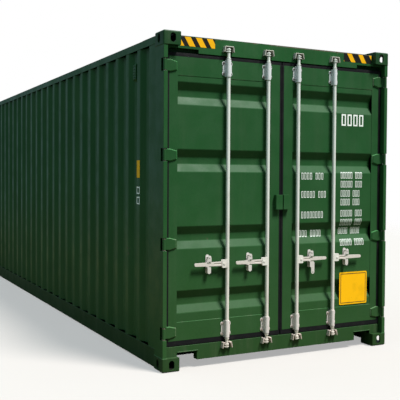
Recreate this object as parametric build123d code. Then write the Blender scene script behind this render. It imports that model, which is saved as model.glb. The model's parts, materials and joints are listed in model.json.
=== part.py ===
from build123d import *
import os
from math import atan2, degrees, tan

# High-cube dry-freight shipping container, forty feet long, in millimetres.
# X runs along the container with the door end at +X, Y across it, Z up.
# The origin is at the centre of the footprint, at the height of the ground.

# Overall size
LENGTH = 12192
WIDTH = 2438
HEIGHT = 2896

# Corner castings
CASTING_LENGTH = 178
CASTING_WIDTH = 162
CASTING_HEIGHT = 118
CASTING_ROUND = 14
CASTING_OUTER_WALL = 15
CASTING_INNER_WALL = 10
CASTING_LOAD_WALL = 28
CASTING_BACK_WALL = 12
TWISTLOCK_LENGTH = 124
TWISTLOCK_WIDTH = 63.5
TWISTLOCK_FROM_END = 101.5
TWISTLOCK_FROM_SIDE = 89
LASHING_HEIGHT = 79.5
LASHING_WIDTH = 51

# Frame steel, with setbacks from the ends and insets from the sides
POST_INSET = 5
POST_STEEL = 6
RAIL_INSET = 6
DOOR_POST_FLANGE = 37
JAMB_SETBACK = 111
JAMB_INSET = 69
HEADER_SETBACK = 50
HEADER_DROP = 29
HEADER_HEIGHT = 140
HEADER_CUTOUT_HEIGHT = 33
HEADER_LIP = 27
CUTOUT_INSET = 354
SILL_BOTTOM = 70
SILL_HEIGHT = 133
SILL_CUTOUT_DROP = 53
SILL_LIP = 12
SILL_LEDGE_STEEL = 6
SILL_LEDGE_REACH = 9
SILL_LEDGE_OVERLAP = 10
TOP_RAIL_SIZE = 60
TOP_RAIL_WALL = 3
BOTTOM_RAIL_BOTTOM = 12
BOTTOM_RAIL_HEIGHT = 160
BOTTOM_RAIL_FLANGE = 48
BOTTOM_RAIL_STEEL = 4.5
FRONT_POST_RETURN = 51

# Side walls, front wall and roof sheets
SHEET = 2
WALL_INSET = 10
WALL_PITCH = 278
WALL_CREST = 72
WALL_VALLEY = 70
WALL_DEPTH = 36
WALL_FIRST_FLAT = 82
WALL_LAST_FLAT = 60
FRONT_WALL_INSET = 9
FRONT_WALL_PITCH = 250
FRONT_WALL_CREST = 110
FRONT_WALL_VALLEY = 104
FRONT_WALL_DEPTH = 45.6
FRONT_WALL_FIRST_FLAT = 135
ROOF_PITCH = 209
ROOF_CREST = 91
ROOF_RIB_SLOPE = 27
ROOF_RISE = 20
ROOF_END_FLAT = 396
ROOF_SIDE_FLAT = 129
ROOF_PLATE = 3
ROOF_PLATE_LENGTH = 300
ROOF_PLATE_WIDTH = 260

# Underframe and floor
FLOOR_THICKNESS = 28
FLOOR_SIDE_GAP = 8
CROSS_MEMBER_BOTTOM = 20
CROSS_MEMBER_HEIGHT = 122
CROSS_MEMBER_FLANGE = 45
CROSS_MEMBER_STEEL = 4
CROSS_MEMBER_SPACING = 300
TUNNEL_LENGTH = 3300
TUNNEL_HALF_WIDTH = 514.5
TUNNEL_HEIGHT = 120
TUNNEL_STEEL = 4
TUNNEL_BOW_WIDTH = 50
THRESHOLD_STEEL = 6

# Side vents
VENT_WIDTH = 64
VENT_HEIGHT = 170
VENT_DEPTH = 22
VENT_DROP = 97
LOUVRE_COUNT = 5
LOUVRE_SLOT = 6
LOUVRE_DEPTH = 9
LOUVRE_MARGIN = 8

# Door leaves
LEAF_SETBACK = 5
LEAF_THICKNESS = 50
LEAF_INSIDE_Y = 22
LEAF_SIDE_GAP = 17
LEAF_BOTTOM_GAP = 47
LEAF_TOP_GAP = 36
STILE_WIDTH = 100
LEAF_RAIL_HEIGHT = 159
LEAF_STEEL = 3
PANEL_SETBACK = 3
BAND_FROM_BOTTOM = 334
BAND_FROM_TOP = 311
BAND_FROM_MIDDLE = 333
BAND_SLOPE = 70
BAND_FLAT = 56
BAND_DEPTH = 36
GASKET_SETBACK = 1
GASKET_GAP = 5
SEAM_HALF_GAP = 5
GASKET_LIP = 8
GASKET_RECESS = 5

# Hinges
HINGE_COUNT = 4
FIRST_HINGE_RISE = 78
LAST_HINGE_DROP = 83
PIN_STANDOFF = 34
PIN_INSET = 21
PIN_RADIUS = 9
PIN_CLEARANCE = 0.5
KNUCKLE_RADIUS = 15
BLADE_HEIGHT = 93
BLADE_TIP_HEIGHT = 63
BLADE_THICKNESS = 12
BLADE_REACH = 85
BLADE_TAPER_REACH = 28
HINGE_NOTCH_HALF = 55
HINGE_NOTCH_BACK = 7
LUG_GAP = 3.5
LUG_HEIGHT = 25

# Lock bars, their cams, collars, hubs and handles
BAR_STANDOFF = 28
BAR_RADIUS = 17
BAR_WALL = 3.2
INNER_BAR_Y = 165
BAR_BELOW_SILL_TOP = 53
BAR_ABOVE_HEADER_BOTTOM = 69
STUB_RADIUS = 14
STUB_PLUG = 40
COLLAR_RADIUS = 19
COLLAR_HEIGHT = 10
COLLAR_GAP = 6
CAM_REACH = 30
CAM_HUB_RADIUS = 19
CAM_NOSE_RADIUS = 9
CAM_PLATE = 9
CAM_HEIGHT = 28
CAM_FROM_END = 22
HANDLE_RISE = 650
HANDLE_LENGTH = 330
HANDLE_END_GAP = 85
HANDLE_THICKNESS = 12
HANDLE_TIP_RADIUS = 14
HANDLE_ROOT_RADIUS = 20
HANDLE_GROOVE_LENGTH = 74
HANDLE_GROOVE_WIDTH = 12
HANDLE_GROOVE_DEPTH = 3
HANDLE_GROOVE_GAP = 8
HUB_REACH = 59
HUB_HEIGHT = 72
HUB_BACK = 7
HUB_FRONT = 5
HUB_ROUND = 8
HUB_BOLT_RADIUS = 7
HUB_BOLT_HEAD = 4
HUB_SLOT_GAP = 2

# Brackets that guide the bars
BRACKET_FROM_LEAF_BOTTOM = 68
BRACKET_FROM_LEAF_TOP = 73
SLEEVE_HEIGHT = 150
BRACKET_STEEL = 5
BRACKET_CLEARANCE = 0.4
FOOT_WIDTH = 100
FOOT_HEIGHT = 122
FOOT_ROUND = 14
FOOT_WAIST = 5

# Cam keepers
KEEPER_INSIDE = 35
KEEPER_EAR = 8
KEEPER_FLARE = 9
KEEPER_DEPTH = 42
KEEPER_HEIGHT = 52
KEEPER_END_GAP = 6
KEEPER_BACK = 4
KEEPER_SLOT_GAP = 5
KEEPER_DROP = 1

# Handle retainers and catches
CATCH_REACH = {"left": 186, "right": 157}
CATCH_PIVOT_RISE = 62
CATCH_PIN_RADIUS = 6
CATCH_PIN_HEAD = 2.5
CATCH_TOP_RADIUS = 15
CATCH_WIDTH = 36
CATCH_FOOT = 12
CATCH_STEEL = 5
CATCH_GAP = 5
CATCH_STANDOFF = 49
RETAINER_HEIGHT = 166
RETAINER_STEEL = 6
CRADLE_WIDTH = 34
CRADLE_DEPTH = 14
LOBE_LENGTH = 58
HASP_LENGTH = 118
HASP_STEEL = 5
HASP_SHIFT = 16
HASP_DROP = 44
HASP_HOLE_RADIUS = 6

# Lock box over the seam of the leaves
LOCK_BOX_REACH = 76
LOCK_BOX_RISE = 1118
LOCK_BOX_HEIGHT = 134
LOCK_BOX_DEPTH = 38
LOCK_BOX_STEEL = 5
LOCK_BOX_ROUND = 7

# Places that follow from the sizes above
END_X = LENGTH / 2
SIDE_Y = WIDTH / 2
INNER_X = END_X - CASTING_LENGTH
INNER_Y = SIDE_Y - CASTING_WIDTH
CASTING_TOP_Z = HEIGHT - CASTING_HEIGHT
POST_FACE_X = END_X - POST_INSET
POST_FACE_Y = SIDE_Y - POST_INSET
POST_INNER_Y = POST_FACE_Y - POST_STEEL
REVEAL_Y = POST_FACE_Y - DOOR_POST_FLANGE
JAMB_FACE_X = END_X - JAMB_SETBACK
JAMB_BACK_X = JAMB_FACE_X - POST_STEEL
JAMB_INSIDE_Y = SIDE_Y - JAMB_INSET
RAIL_Y = SIDE_Y - RAIL_INSET
HEADER_FACE_X = END_X - HEADER_SETBACK
HEADER_TOP = HEIGHT - HEADER_DROP
HEADER_BOTTOM = HEADER_TOP - HEADER_HEIGHT
HEADER_CUTOUT_Z = HEADER_BOTTOM + HEADER_CUTOUT_HEIGHT
HEADER_LIP_BOTTOM = HEADER_BOTTOM - HEADER_LIP
CUTOUT_INSIDE_Y = SIDE_Y - CUTOUT_INSET
SILL_TOP = SILL_BOTTOM + SILL_HEIGHT
SILL_CUTOUT_Z = SILL_TOP - SILL_CUTOUT_DROP
SILL_LIP_TOP = SILL_TOP + SILL_LIP
BOTTOM_RAIL_TOP = BOTTOM_RAIL_BOTTOM + BOTTOM_RAIL_HEIGHT
TOP_RAIL_BOTTOM = HEADER_TOP - TOP_RAIL_SIZE
FLOOR_BOTTOM = CROSS_MEMBER_BOTTOM + CROSS_MEMBER_HEIGHT
FLOOR_TOP = FLOOR_BOTTOM + FLOOR_THICKNESS
VALLEY_Y = SIDE_Y - WALL_INSET - WALL_DEPTH
FLOOR_HALF_WIDTH = VALLEY_Y - SHEET - FLOOR_SIDE_GAP
RIB_FIELD_X = END_X - ROOF_END_FLAT
RIB_FIELD_Y = SIDE_Y - ROOF_SIDE_FLAT
VENT_TOP = TOP_RAIL_BOTTOM - VENT_DROP
LEAF_FACE_X = HEADER_FACE_X - LEAF_SETBACK
LEAF_INNER_X = LEAF_FACE_X - LEAF_THICKNESS
LEAF_OUTSIDE_Y = REVEAL_Y - LEAF_SIDE_GAP
LEAF_BOTTOM = SILL_TOP + LEAF_BOTTOM_GAP
LEAF_TOP = HEADER_BOTTOM - LEAF_TOP_GAP
PANEL_FACE_X = LEAF_FACE_X - PANEL_SETBACK
FIRST_HINGE_Z = LEAF_BOTTOM + FIRST_HINGE_RISE
LAST_HINGE_Z = LEAF_TOP - LAST_HINGE_DROP
HINGE_PITCH = (LAST_HINGE_Z - FIRST_HINGE_Z) / (HINGE_COUNT - 1)
HINGE_CENTRES = [FIRST_HINGE_Z + HINGE_PITCH * number for number in range(HINGE_COUNT)]
PIN_X = LEAF_FACE_X + PIN_STANDOFF
PIN_Y = SIDE_Y - PIN_INSET
BAR_X = LEAF_FACE_X + BAR_STANDOFF
BAR_Y = {"inner": INNER_BAR_Y, "outer": INNER_BAR_Y + HANDLE_LENGTH + HANDLE_END_GAP}
BAR_BOTTOM = SILL_TOP - BAR_BELOW_SILL_TOP
BAR_TOP = HEADER_BOTTOM + BAR_ABOVE_HEADER_BOTTOM
BRACKET_CENTRES = (LEAF_BOTTOM + BRACKET_FROM_LEAF_BOTTOM, LEAF_TOP - BRACKET_FROM_LEAF_TOP)
HANDLE_Z = LEAF_BOTTOM + HANDLE_RISE
HANDLE_FACE_X = BAR_X + HANDLE_THICKNESS
CATCH_FACE_X = LEAF_FACE_X + CATCH_STANDOFF
LOCK_BOX_BOTTOM = LEAF_BOTTOM + LOCK_BOX_RISE


def block(x_range, y_range, z_range):
    """A rectangular solid between the low and high values on each axis."""
    ranges = (x_range, y_range, z_range)
    size = [max(pair) - min(pair) for pair in ranges]
    corner = [min(pair) for pair in ranges]
    return Pos(*corner) * Box(*size, align=(Align.MIN, Align.MIN, Align.MIN))


def outline(points):
    """A flat face inside a closed line through the points."""
    return make_face(Polyline(*points, close=True))


def drop_shape(start, start_radius, end, end_radius):
    """A flat face round two circles and the lines that touch both."""
    circles = (Pos(*start) * Circle(start_radius)).edges() + (Pos(*end) * Circle(end_radius)).edges()
    return make_hull(circles)


def plate_x(face, x_range):
    """A flat (Y, Z) face carried along X."""
    return Pos(min(x_range), 0, 0) * extrude(Plane.YZ * face, max(x_range) - min(x_range))


def plate_z(face, z_range):
    """A flat (X, Y) face carried up Z."""
    return Pos(0, 0, min(z_range)) * extrude(face, max(z_range) - min(z_range))


def along_x(points, x_range):
    """A (Y, Z) outline carried along X."""
    return plate_x(outline(points), x_range)


def along_y(points, y_range):
    """An (X, Z) outline carried along Y."""
    return Pos(0, max(y_range), 0) * extrude(Plane.XZ * outline(points), max(y_range) - min(y_range))


def along_z(points, z_range):
    """An (X, Y) outline carried up Z."""
    return plate_z(outline(points), z_range)


def rod_z(x, y, radius, z_range):
    """A round bar standing up at (x, y)."""
    return plate_z(Pos(x, y) * Circle(radius), z_range)


def rod_x(y, z, radius, x_range):
    """A round bar lying along X at (y, z)."""
    return plate_x(Pos(y, z) * Circle(radius), x_range)


def mirror_y(shape):
    """The same shape on the other side of the container."""
    return mirror(shape, about=Plane.XZ)


def mirror_x(shape):
    """The same shape at the other end of the container."""
    return mirror(shape, about=Plane.YZ)


def both_sides(shape):
    """A shape and its twin on the other side."""
    return [shape, mirror_y(shape)]


def mirrored_points(points):
    """Points of one half of a (Y, Z) outline, then the same points of the other half in reverse."""
    return points + [(-y, z) for y, z in reversed(points)]


def bent_sheet(length, bends, depth, thickness):
    """Outline of a folded sheet as (along, inward) points.

    Each bend is (start, slope, flat): the sheet leaves its outer plane at start, slopes in to depth,
    stays there for the flat and slopes back out.
    """
    face = [(0, 0)]
    back = [(0, thickness)]
    for start, slope, flat in bends:
        lean = thickness * tan(atan2(depth, slope) / 2)
        corners = (
            (start, 0, -lean),
            (start + slope, depth, -lean),
            (start + slope + flat, depth, lean),
            (start + slope + flat + slope, 0, lean),
        )
        for along, inward, shift in corners:
            face.append((along, inward))
            back.append((along + shift, inward + thickness))
    face.append((length, 0))
    back.append((length, thickness))
    return face + back[::-1]


def even_bends(length, first_flat, last_flat, pitch, crest, valley):
    """Bends at an even pitch, as many as fit between the two end flats."""
    slope = (pitch - crest - valley) / 2
    bends = []
    start = first_flat
    while start + pitch - crest + last_flat <= length:
        bends.append((start, slope, valley))
        start += pitch
    return bends


def side_wall_bends():
    """The valleys of one side wall, measured from its front end."""
    return even_bends(INNER_X * 2, WALL_FIRST_FLAT, WALL_LAST_FLAT, WALL_PITCH, WALL_CREST, WALL_VALLEY)


def save(name, *shapes):
    """Write one named piece, which may hold several solids that don't touch."""
    solids = []
    for shape in shapes:
        solids.extend(shape.solids())
    export_step(Compound(children=solids), f"parts/{name}.step")


def corner_casting():
    """The hollow casting at the bottom corner of the door end, on the +Y side."""
    body = block((INNER_X, END_X), (INNER_Y, SIDE_Y), (0, CASTING_HEIGHT))
    edges_at_corner = body.edges().sort_by_distance((END_X, SIDE_Y, 0))[:3]
    body = fillet(edges_at_corner, CASTING_ROUND)
    cavity = block(
        (INNER_X + CASTING_INNER_WALL, END_X - CASTING_OUTER_WALL),
        (INNER_Y + CASTING_INNER_WALL, SIDE_Y - CASTING_OUTER_WALL),
        (CASTING_LOAD_WALL, CASTING_HEIGHT - CASTING_BACK_WALL),
    )
    slot_x = END_X - TWISTLOCK_FROM_END
    slot_y = SIDE_Y - TWISTLOCK_FROM_SIDE
    middle_z = CASTING_HEIGHT / 2
    twistlock = extrude(SlotOverall(TWISTLOCK_LENGTH, TWISTLOCK_WIDTH), CASTING_LOAD_WALL)
    lashing = extrude(SlotOverall(LASHING_HEIGHT, LASHING_WIDTH), CASTING_OUTER_WALL)
    end_hole = Pos(END_X - CASTING_OUTER_WALL, slot_y, middle_z) * Rot(0, 90, 0) * lashing
    side_hole = Pos(slot_x, SIDE_Y, middle_z) * Rot(90, 0, 0) * Rot(0, 0, 90) * lashing
    return body - cavity - Pos(slot_x, slot_y, 0) * twistlock - end_hole - side_hole


def build_castings():
    """Four castings at the ground and four at the top."""
    near = corner_casting()
    bottom = both_sides(near) + both_sides(mirror_x(near))
    top = [Pos(0, 0, HEIGHT) * mirror(casting, about=Plane.XY) for casting in bottom]
    save("bottom_corner_castings", *bottom)
    save("top_corner_castings", *top)


def hinge_notch(centre_z):
    """The window in a door post through which one hinge blade swings."""
    z_range = (centre_z - HINGE_NOTCH_HALF, centre_z + HINGE_NOTCH_HALF)
    return block((LEAF_FACE_X - HINGE_NOTCH_BACK, END_X), (REVEAL_Y - POST_STEEL, SIDE_Y), z_range)


def build_door_posts():
    """Folded outer posts with hinge notches, and the channels that the leaves close against."""
    inner_x = POST_FACE_X - POST_STEEL
    reveal_back = REVEAL_Y + POST_STEEL
    z_range = (CASTING_HEIGHT, CASTING_TOP_Z)
    post = along_z(
        [
            (INNER_X, POST_FACE_Y), (POST_FACE_X, POST_FACE_Y), (POST_FACE_X, REVEAL_Y),
            (JAMB_FACE_X, REVEAL_Y), (JAMB_FACE_X, reveal_back), (inner_x, reveal_back),
            (inner_x, POST_INNER_Y), (INNER_X, POST_INNER_Y),
        ],
        z_range,
    )
    for centre_z in HINGE_CENTRES:
        post -= hinge_notch(centre_z)
    save("door_corner_posts", *both_sides(post))
    inside = JAMB_INSIDE_Y + POST_STEEL
    jamb = along_z(
        [
            (JAMB_FACE_X, POST_INNER_Y), (JAMB_FACE_X, JAMB_INSIDE_Y), (INNER_X, JAMB_INSIDE_Y),
            (INNER_X, POST_INNER_Y), (INNER_X + POST_STEEL, POST_INNER_Y), (INNER_X + POST_STEEL, inside),
            (JAMB_BACK_X, inside), (JAMB_BACK_X, POST_INNER_Y),
        ],
        z_range,
    )
    face_x = (JAMB_BACK_X, JAMB_FACE_X)
    face_y = (JAMB_INSIDE_Y, POST_INNER_Y)
    jamb -= block(face_x, face_y, (CASTING_HEIGHT, SILL_LIP_TOP))
    jamb -= block(face_x, face_y, (HEADER_LIP_BOTTOM, CASTING_TOP_Z))
    save("door_jamb_channels", *both_sides(jamb))


def build_header():
    """The hollow beam over the doors, with its cut-outs beside the posts."""
    front = along_x(
        mirrored_points([
            (CUTOUT_INSIDE_Y, HEADER_BOTTOM), (CUTOUT_INSIDE_Y, HEADER_CUTOUT_Z), (REVEAL_Y, HEADER_CUTOUT_Z),
            (REVEAL_Y, CASTING_TOP_Z), (INNER_Y, CASTING_TOP_Z), (INNER_Y, HEADER_TOP),
        ]),
        (HEADER_FACE_X - POST_STEEL, HEADER_FACE_X),
    )
    rear = along_x(
        mirrored_points([
            (POST_INNER_Y, HEADER_LIP_BOTTOM), (POST_INNER_Y, CASTING_TOP_Z), (INNER_Y, CASTING_TOP_Z),
            (INNER_Y, HEADER_TOP),
        ]),
        (JAMB_BACK_X, JAMB_FACE_X),
    )
    between = (JAMB_FACE_X, HEADER_FACE_X - POST_STEEL)
    step = CUTOUT_INSIDE_Y - POST_STEEL
    soffit = along_x(
        mirrored_points([
            (step, HEADER_BOTTOM + POST_STEEL), (step, HEADER_CUTOUT_Z + POST_STEEL),
            (REVEAL_Y, HEADER_CUTOUT_Z + POST_STEEL), (REVEAL_Y, HEADER_CUTOUT_Z),
            (CUTOUT_INSIDE_Y, HEADER_CUTOUT_Z), (CUTOUT_INSIDE_Y, HEADER_BOTTOM),
        ]),
        between,
    )
    top = block(between, (-INNER_Y, INNER_Y), (HEADER_TOP - POST_STEEL, HEADER_TOP))
    save("door_header", front + rear + soffit + top)


def sill_plate(top_z, side_y, x_range):
    """One upright plate of the sill, with its two cut-outs and its shoulders over the castings."""
    return along_x(
        mirrored_points([
            (CUTOUT_INSIDE_Y, SILL_BOTTOM), (CUTOUT_INSIDE_Y, SILL_CUTOUT_Z), (INNER_Y, SILL_CUTOUT_Z),
            (INNER_Y, CASTING_HEIGHT), (side_y, CASTING_HEIGHT), (side_y, top_z),
        ]),
        x_range,
    )


def build_sill():
    """The hollow beam under the doors, its ledges over the cut-outs, and the threshold plate behind it."""
    front = sill_plate(SILL_TOP, REVEAL_Y, (HEADER_FACE_X - POST_STEEL, HEADER_FACE_X))
    rear = sill_plate(SILL_LIP_TOP, POST_INNER_Y, (JAMB_BACK_X, JAMB_FACE_X))
    between = (JAMB_FACE_X, HEADER_FACE_X - POST_STEEL)
    step = CUTOUT_INSIDE_Y - POST_STEEL
    underside = along_x(
        mirrored_points([
            (CUTOUT_INSIDE_Y, SILL_BOTTOM), (CUTOUT_INSIDE_Y, SILL_CUTOUT_Z), (INNER_Y, SILL_CUTOUT_Z),
            (INNER_Y, SILL_CUTOUT_Z + POST_STEEL), (step, SILL_CUTOUT_Z + POST_STEEL),
            (step, SILL_BOTTOM + POST_STEEL),
        ]),
        between,
    )
    top = block(between, (-REVEAL_Y, REVEAL_Y), (SILL_TOP - POST_STEEL, SILL_TOP))
    ledge = block(
        (HEADER_FACE_X, HEADER_FACE_X + SILL_LEDGE_REACH),
        (CUTOUT_INSIDE_Y - SILL_LEDGE_OVERLAP, INNER_Y),
        (SILL_CUTOUT_Z, SILL_CUTOUT_Z + SILL_LEDGE_STEEL),
    )
    threshold = block(
        (INNER_X - POST_STEEL, JAMB_BACK_X),
        (-JAMB_INSIDE_Y, JAMB_INSIDE_Y),
        (FLOOR_TOP - THRESHOLD_STEEL, FLOOR_TOP),
    )
    save("door_sill", front + rear + underside + top + ledge + mirror_y(ledge) + threshold)


def build_front_frame():
    """Corner posts, sill and top rail of the blind end."""
    face_x = -POST_FACE_X
    section = outline([
        (-INNER_X, POST_FACE_Y), (face_x, POST_FACE_Y), (face_x, INNER_Y),
        (face_x + FRONT_POST_RETURN, INNER_Y), (-INNER_X, JAMB_INSIDE_Y),
    ])
    hollow = section - offset(section, -POST_STEEL)
    save("front_corner_posts", *both_sides(plate_z(hollow, (CASTING_HEIGHT, CASTING_TOP_Z))))
    rail_x = (face_x, face_x + TOP_RAIL_SIZE)
    rail_inner_x = (face_x + TOP_RAIL_WALL, face_x + TOP_RAIL_SIZE - TOP_RAIL_WALL)
    rail = block(rail_x, (-INNER_Y, INNER_Y), (TOP_RAIL_BOTTOM, HEADER_TOP))
    rail -= block(
        rail_inner_x, (-INNER_Y, INNER_Y), (TOP_RAIL_BOTTOM + TOP_RAIL_WALL, HEADER_TOP - TOP_RAIL_WALL)
    )
    save("front_top_rail", rail)
    plate = along_x(
        mirrored_points([
            (TUNNEL_HALF_WIDTH, TUNNEL_HEIGHT), (TUNNEL_HALF_WIDTH, BOTTOM_RAIL_BOTTOM),
            (INNER_Y, BOTTOM_RAIL_BOTTOM), (INNER_Y, BOTTOM_RAIL_TOP),
        ]),
        (face_x, face_x + POST_STEEL),
    )
    flange = block(
        (face_x + POST_STEEL, face_x + TOP_RAIL_SIZE),
        (-INNER_Y, INNER_Y),
        (BOTTOM_RAIL_TOP - POST_STEEL, BOTTOM_RAIL_TOP),
    )
    save("front_sill", plate + flange)


def build_side_rails():
    """Square top rails and channel bottom rails between the corner castings."""
    x_range = (-INNER_X, INNER_X)
    top = block(x_range, (RAIL_Y - TOP_RAIL_SIZE, RAIL_Y), (TOP_RAIL_BOTTOM, HEADER_TOP))
    top -= block(
        x_range,
        (RAIL_Y - TOP_RAIL_SIZE + TOP_RAIL_WALL, RAIL_Y - TOP_RAIL_WALL),
        (TOP_RAIL_BOTTOM + TOP_RAIL_WALL, HEADER_TOP - TOP_RAIL_WALL),
    )
    save("top_side_rails", *both_sides(top))
    web_y = RAIL_Y - BOTTOM_RAIL_STEEL
    edge_y = RAIL_Y - BOTTOM_RAIL_FLANGE
    upper_z = BOTTOM_RAIL_TOP - BOTTOM_RAIL_STEEL
    lower_z = BOTTOM_RAIL_BOTTOM + BOTTOM_RAIL_STEEL
    bottom = along_x(
        [
            (RAIL_Y, BOTTOM_RAIL_BOTTOM), (RAIL_Y, BOTTOM_RAIL_TOP), (edge_y, BOTTOM_RAIL_TOP),
            (edge_y, upper_z), (web_y, upper_z), (web_y, lower_z), (edge_y, lower_z),
            (edge_y, BOTTOM_RAIL_BOTTOM),
        ],
        x_range,
    )
    save("bottom_side_rails", *both_sides(bottom))


def build_side_walls():
    """Upright corrugated walls between the posts and the rails."""
    face_y = SIDE_Y - WALL_INSET
    points = [
        (along - INNER_X, face_y - inward)
        for along, inward in bent_sheet(INNER_X * 2, side_wall_bends(), WALL_DEPTH, SHEET)
    ]
    wall = along_z(points, (BOTTOM_RAIL_TOP, TOP_RAIL_BOTTOM))
    save("right_side_wall", wall)
    save("left_side_wall", mirror_y(wall))


def build_front_wall():
    """The upright corrugated wall of the blind end."""
    length = INNER_Y * 2
    bends = even_bends(
        length, FRONT_WALL_FIRST_FLAT, FRONT_WALL_FIRST_FLAT,
        FRONT_WALL_PITCH, FRONT_WALL_CREST, FRONT_WALL_VALLEY,
    )
    face_x = -END_X + FRONT_WALL_INSET
    points = [
        (face_x + inward, along - INNER_Y)
        for along, inward in bent_sheet(length, bends, FRONT_WALL_DEPTH, SHEET)
    ]
    save("front_wall", along_z(points, (BOTTOM_RAIL_TOP, TOP_RAIL_BOTTOM)))


def roof_rib(middle_x, base_z, shrink):
    """A stamped rib across the roof: a long low hump that slopes down on all four sides."""
    base = Rectangle(
        ROOF_CREST + 2 * (ROOF_RIB_SLOPE - shrink), 2 * (RIB_FIELD_Y - shrink)
    )
    taper = degrees(atan2(ROOF_RIB_SLOPE, ROOF_RISE))
    return Pos(middle_x, 0, base_z) * extrude(base, ROOF_RISE, taper=taper)


def build_roof():
    """The roof sheet with its stamped ribs, and the plates that double it at the corners."""
    top_z = HEADER_TOP + SHEET
    plate = block((-POST_FACE_X, HEADER_FACE_X), (-RAIL_Y, RAIL_Y), (HEADER_TOP, top_z))
    for x_range in ((-END_X, -INNER_X), (INNER_X, END_X)):
        for y_range in ((-SIDE_Y, -INNER_Y), (INNER_Y, SIDE_Y)):
            plate -= block(x_range, y_range, (HEADER_TOP, top_z))
    fold = SHEET * tan(atan2(ROOF_RISE, ROOF_RIB_SLOPE) / 2)
    count = int(2 * RIB_FIELD_X // ROOF_PITCH) + 1
    middles = [ROOF_PITCH * (number - (count - 1) / 2) for number in range(count)]
    roof = plate + [roof_rib(x, top_z, 0) for x in middles]
    roof -= [roof_rib(x, HEADER_TOP, fold) for x in middles]
    save("roof", roof)
    corner = block(
        (INNER_X - ROOF_PLATE_LENGTH, INNER_X),
        (RAIL_Y - ROOF_PLATE_WIDTH, RAIL_Y),
        (top_z, top_z + ROOF_PLATE),
    )
    last_rib_x = middles[-1] + ROOF_CREST / 2 + ROOF_RIB_SLOPE
    corner -= block((INNER_X - ROOF_PLATE_LENGTH, last_rib_x), (0, RIB_FIELD_Y), (top_z, HEIGHT))
    save("roof_corner_plates", *both_sides(corner), *both_sides(mirror_x(corner)))


def cross_member(x, y_range):
    """One channel across the underframe, its web at x."""
    steel = CROSS_MEMBER_STEEL
    flange_x = x + CROSS_MEMBER_FLANGE
    lower_z = CROSS_MEMBER_BOTTOM + steel
    upper_z = FLOOR_BOTTOM - steel
    return along_y(
        [
            (x, CROSS_MEMBER_BOTTOM), (flange_x, CROSS_MEMBER_BOTTOM), (flange_x, lower_z),
            (x + steel, lower_z), (x + steel, upper_z), (flange_x, upper_z), (flange_x, FLOOR_BOTTOM),
            (x, FLOOR_BOTTOM),
        ],
        y_range,
    )


def build_underframe():
    """Cross members between the bottom rails, and the tunnel for a trailer's neck at the front."""
    side_y = RAIL_Y - BOTTOM_RAIL_STEEL
    tunnel_end_x = -POST_FACE_X + TUNNEL_LENGTH
    tunnel_side_y = TUNNEL_HALF_WIDTH + TUNNEL_STEEL
    members = []
    bows = []
    x = tunnel_end_x
    while x < INNER_X - CROSS_MEMBER_FLANGE:
        members.append(cross_member(x, (-side_y, side_y)))
        x += CROSS_MEMBER_SPACING
    x = tunnel_end_x - CROSS_MEMBER_SPACING
    while x > -INNER_X:
        members.extend(both_sides(cross_member(x, (tunnel_side_y, side_y))))
        bows.append(block(
            (x, x + TUNNEL_BOW_WIDTH),
            (-tunnel_side_y, tunnel_side_y),
            (TUNNEL_HEIGHT + TUNNEL_STEEL, FLOOR_BOTTOM),
        ))
        x -= CROSS_MEMBER_SPACING
    save("cross_members", *members)
    tunnel = along_x(
        mirrored_points([
            (TUNNEL_HALF_WIDTH, TUNNEL_HEIGHT), (TUNNEL_HALF_WIDTH, CROSS_MEMBER_BOTTOM),
            (tunnel_side_y, CROSS_MEMBER_BOTTOM), (tunnel_side_y, TUNNEL_HEIGHT + TUNNEL_STEEL),
        ]),
        (-POST_FACE_X + POST_STEEL, tunnel_end_x),
    )
    for bow in bows:
        tunnel += bow
    save("gooseneck_tunnel", tunnel)


def build_floor():
    """Plywood laid on the cross members, notched round the front posts."""
    front_x = -POST_FACE_X + TOP_RAIL_SIZE
    z_range = (FLOOR_BOTTOM, FLOOR_TOP)
    floor = block((front_x, INNER_X - POST_STEEL), (-FLOOR_HALF_WIDTH, FLOOR_HALF_WIDTH), z_range)
    notch = block((front_x, -INNER_X), (INNER_Y, FLOOR_HALF_WIDTH), z_range)
    save("plywood_floor", floor - notch - mirror_y(notch))


def build_vents():
    """A louvred cover high in the second valley of each side wall, near the doors."""
    start, slope, flat = side_wall_bends()[-2]
    middle_x = start + slope + flat / 2 - INNER_X
    low = VENT_TOP - VENT_HEIGHT
    face_y = VALLEY_Y + VENT_DEPTH
    cover = along_x(
        [
            (VALLEY_Y, low), (face_y, low + VENT_DEPTH), (face_y, VENT_TOP - VENT_DEPTH),
            (VALLEY_Y, VENT_TOP),
        ],
        (middle_x - VENT_WIDTH / 2, middle_x + VENT_WIDTH / 2),
    )
    slot_x = (middle_x - VENT_WIDTH / 2 + LOUVRE_MARGIN, middle_x + VENT_WIDTH / 2 - LOUVRE_MARGIN)
    pitch = (VENT_HEIGHT - 2 * VENT_DEPTH) / LOUVRE_COUNT
    for number in range(LOUVRE_COUNT):
        slot_z = low + VENT_DEPTH + pitch * (number + 1 / 2)
        slot_range = (slot_z - LOUVRE_SLOT / 2, slot_z + LOUVRE_SLOT / 2)
        cover -= block(slot_x, (face_y - LOUVRE_DEPTH, face_y), slot_range)
    save("side_vents", *both_sides(cover))


def build_hinge_lugs():
    """Each hinge's pin, with the two lugs that hold it inside the post."""
    lugs = []
    low_y = REVEAL_Y + POST_STEEL
    for centre_z in HINGE_CENTRES:
        near = BLADE_HEIGHT / 2 + LUG_GAP
        far = near + LUG_HEIGHT
        lug = rod_z(PIN_X, PIN_Y, PIN_RADIUS, (centre_z - far, centre_z + far))
        for z_range in ((centre_z - far, centre_z - near), (centre_z + near, centre_z + far)):
            lug += block((PIN_X - KNUCKLE_RADIUS, POST_FACE_X - POST_STEEL), (low_y, POST_INNER_Y), z_range)
        lugs.extend(both_sides(lug))
    save("hinge_lugs", *lugs)


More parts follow.
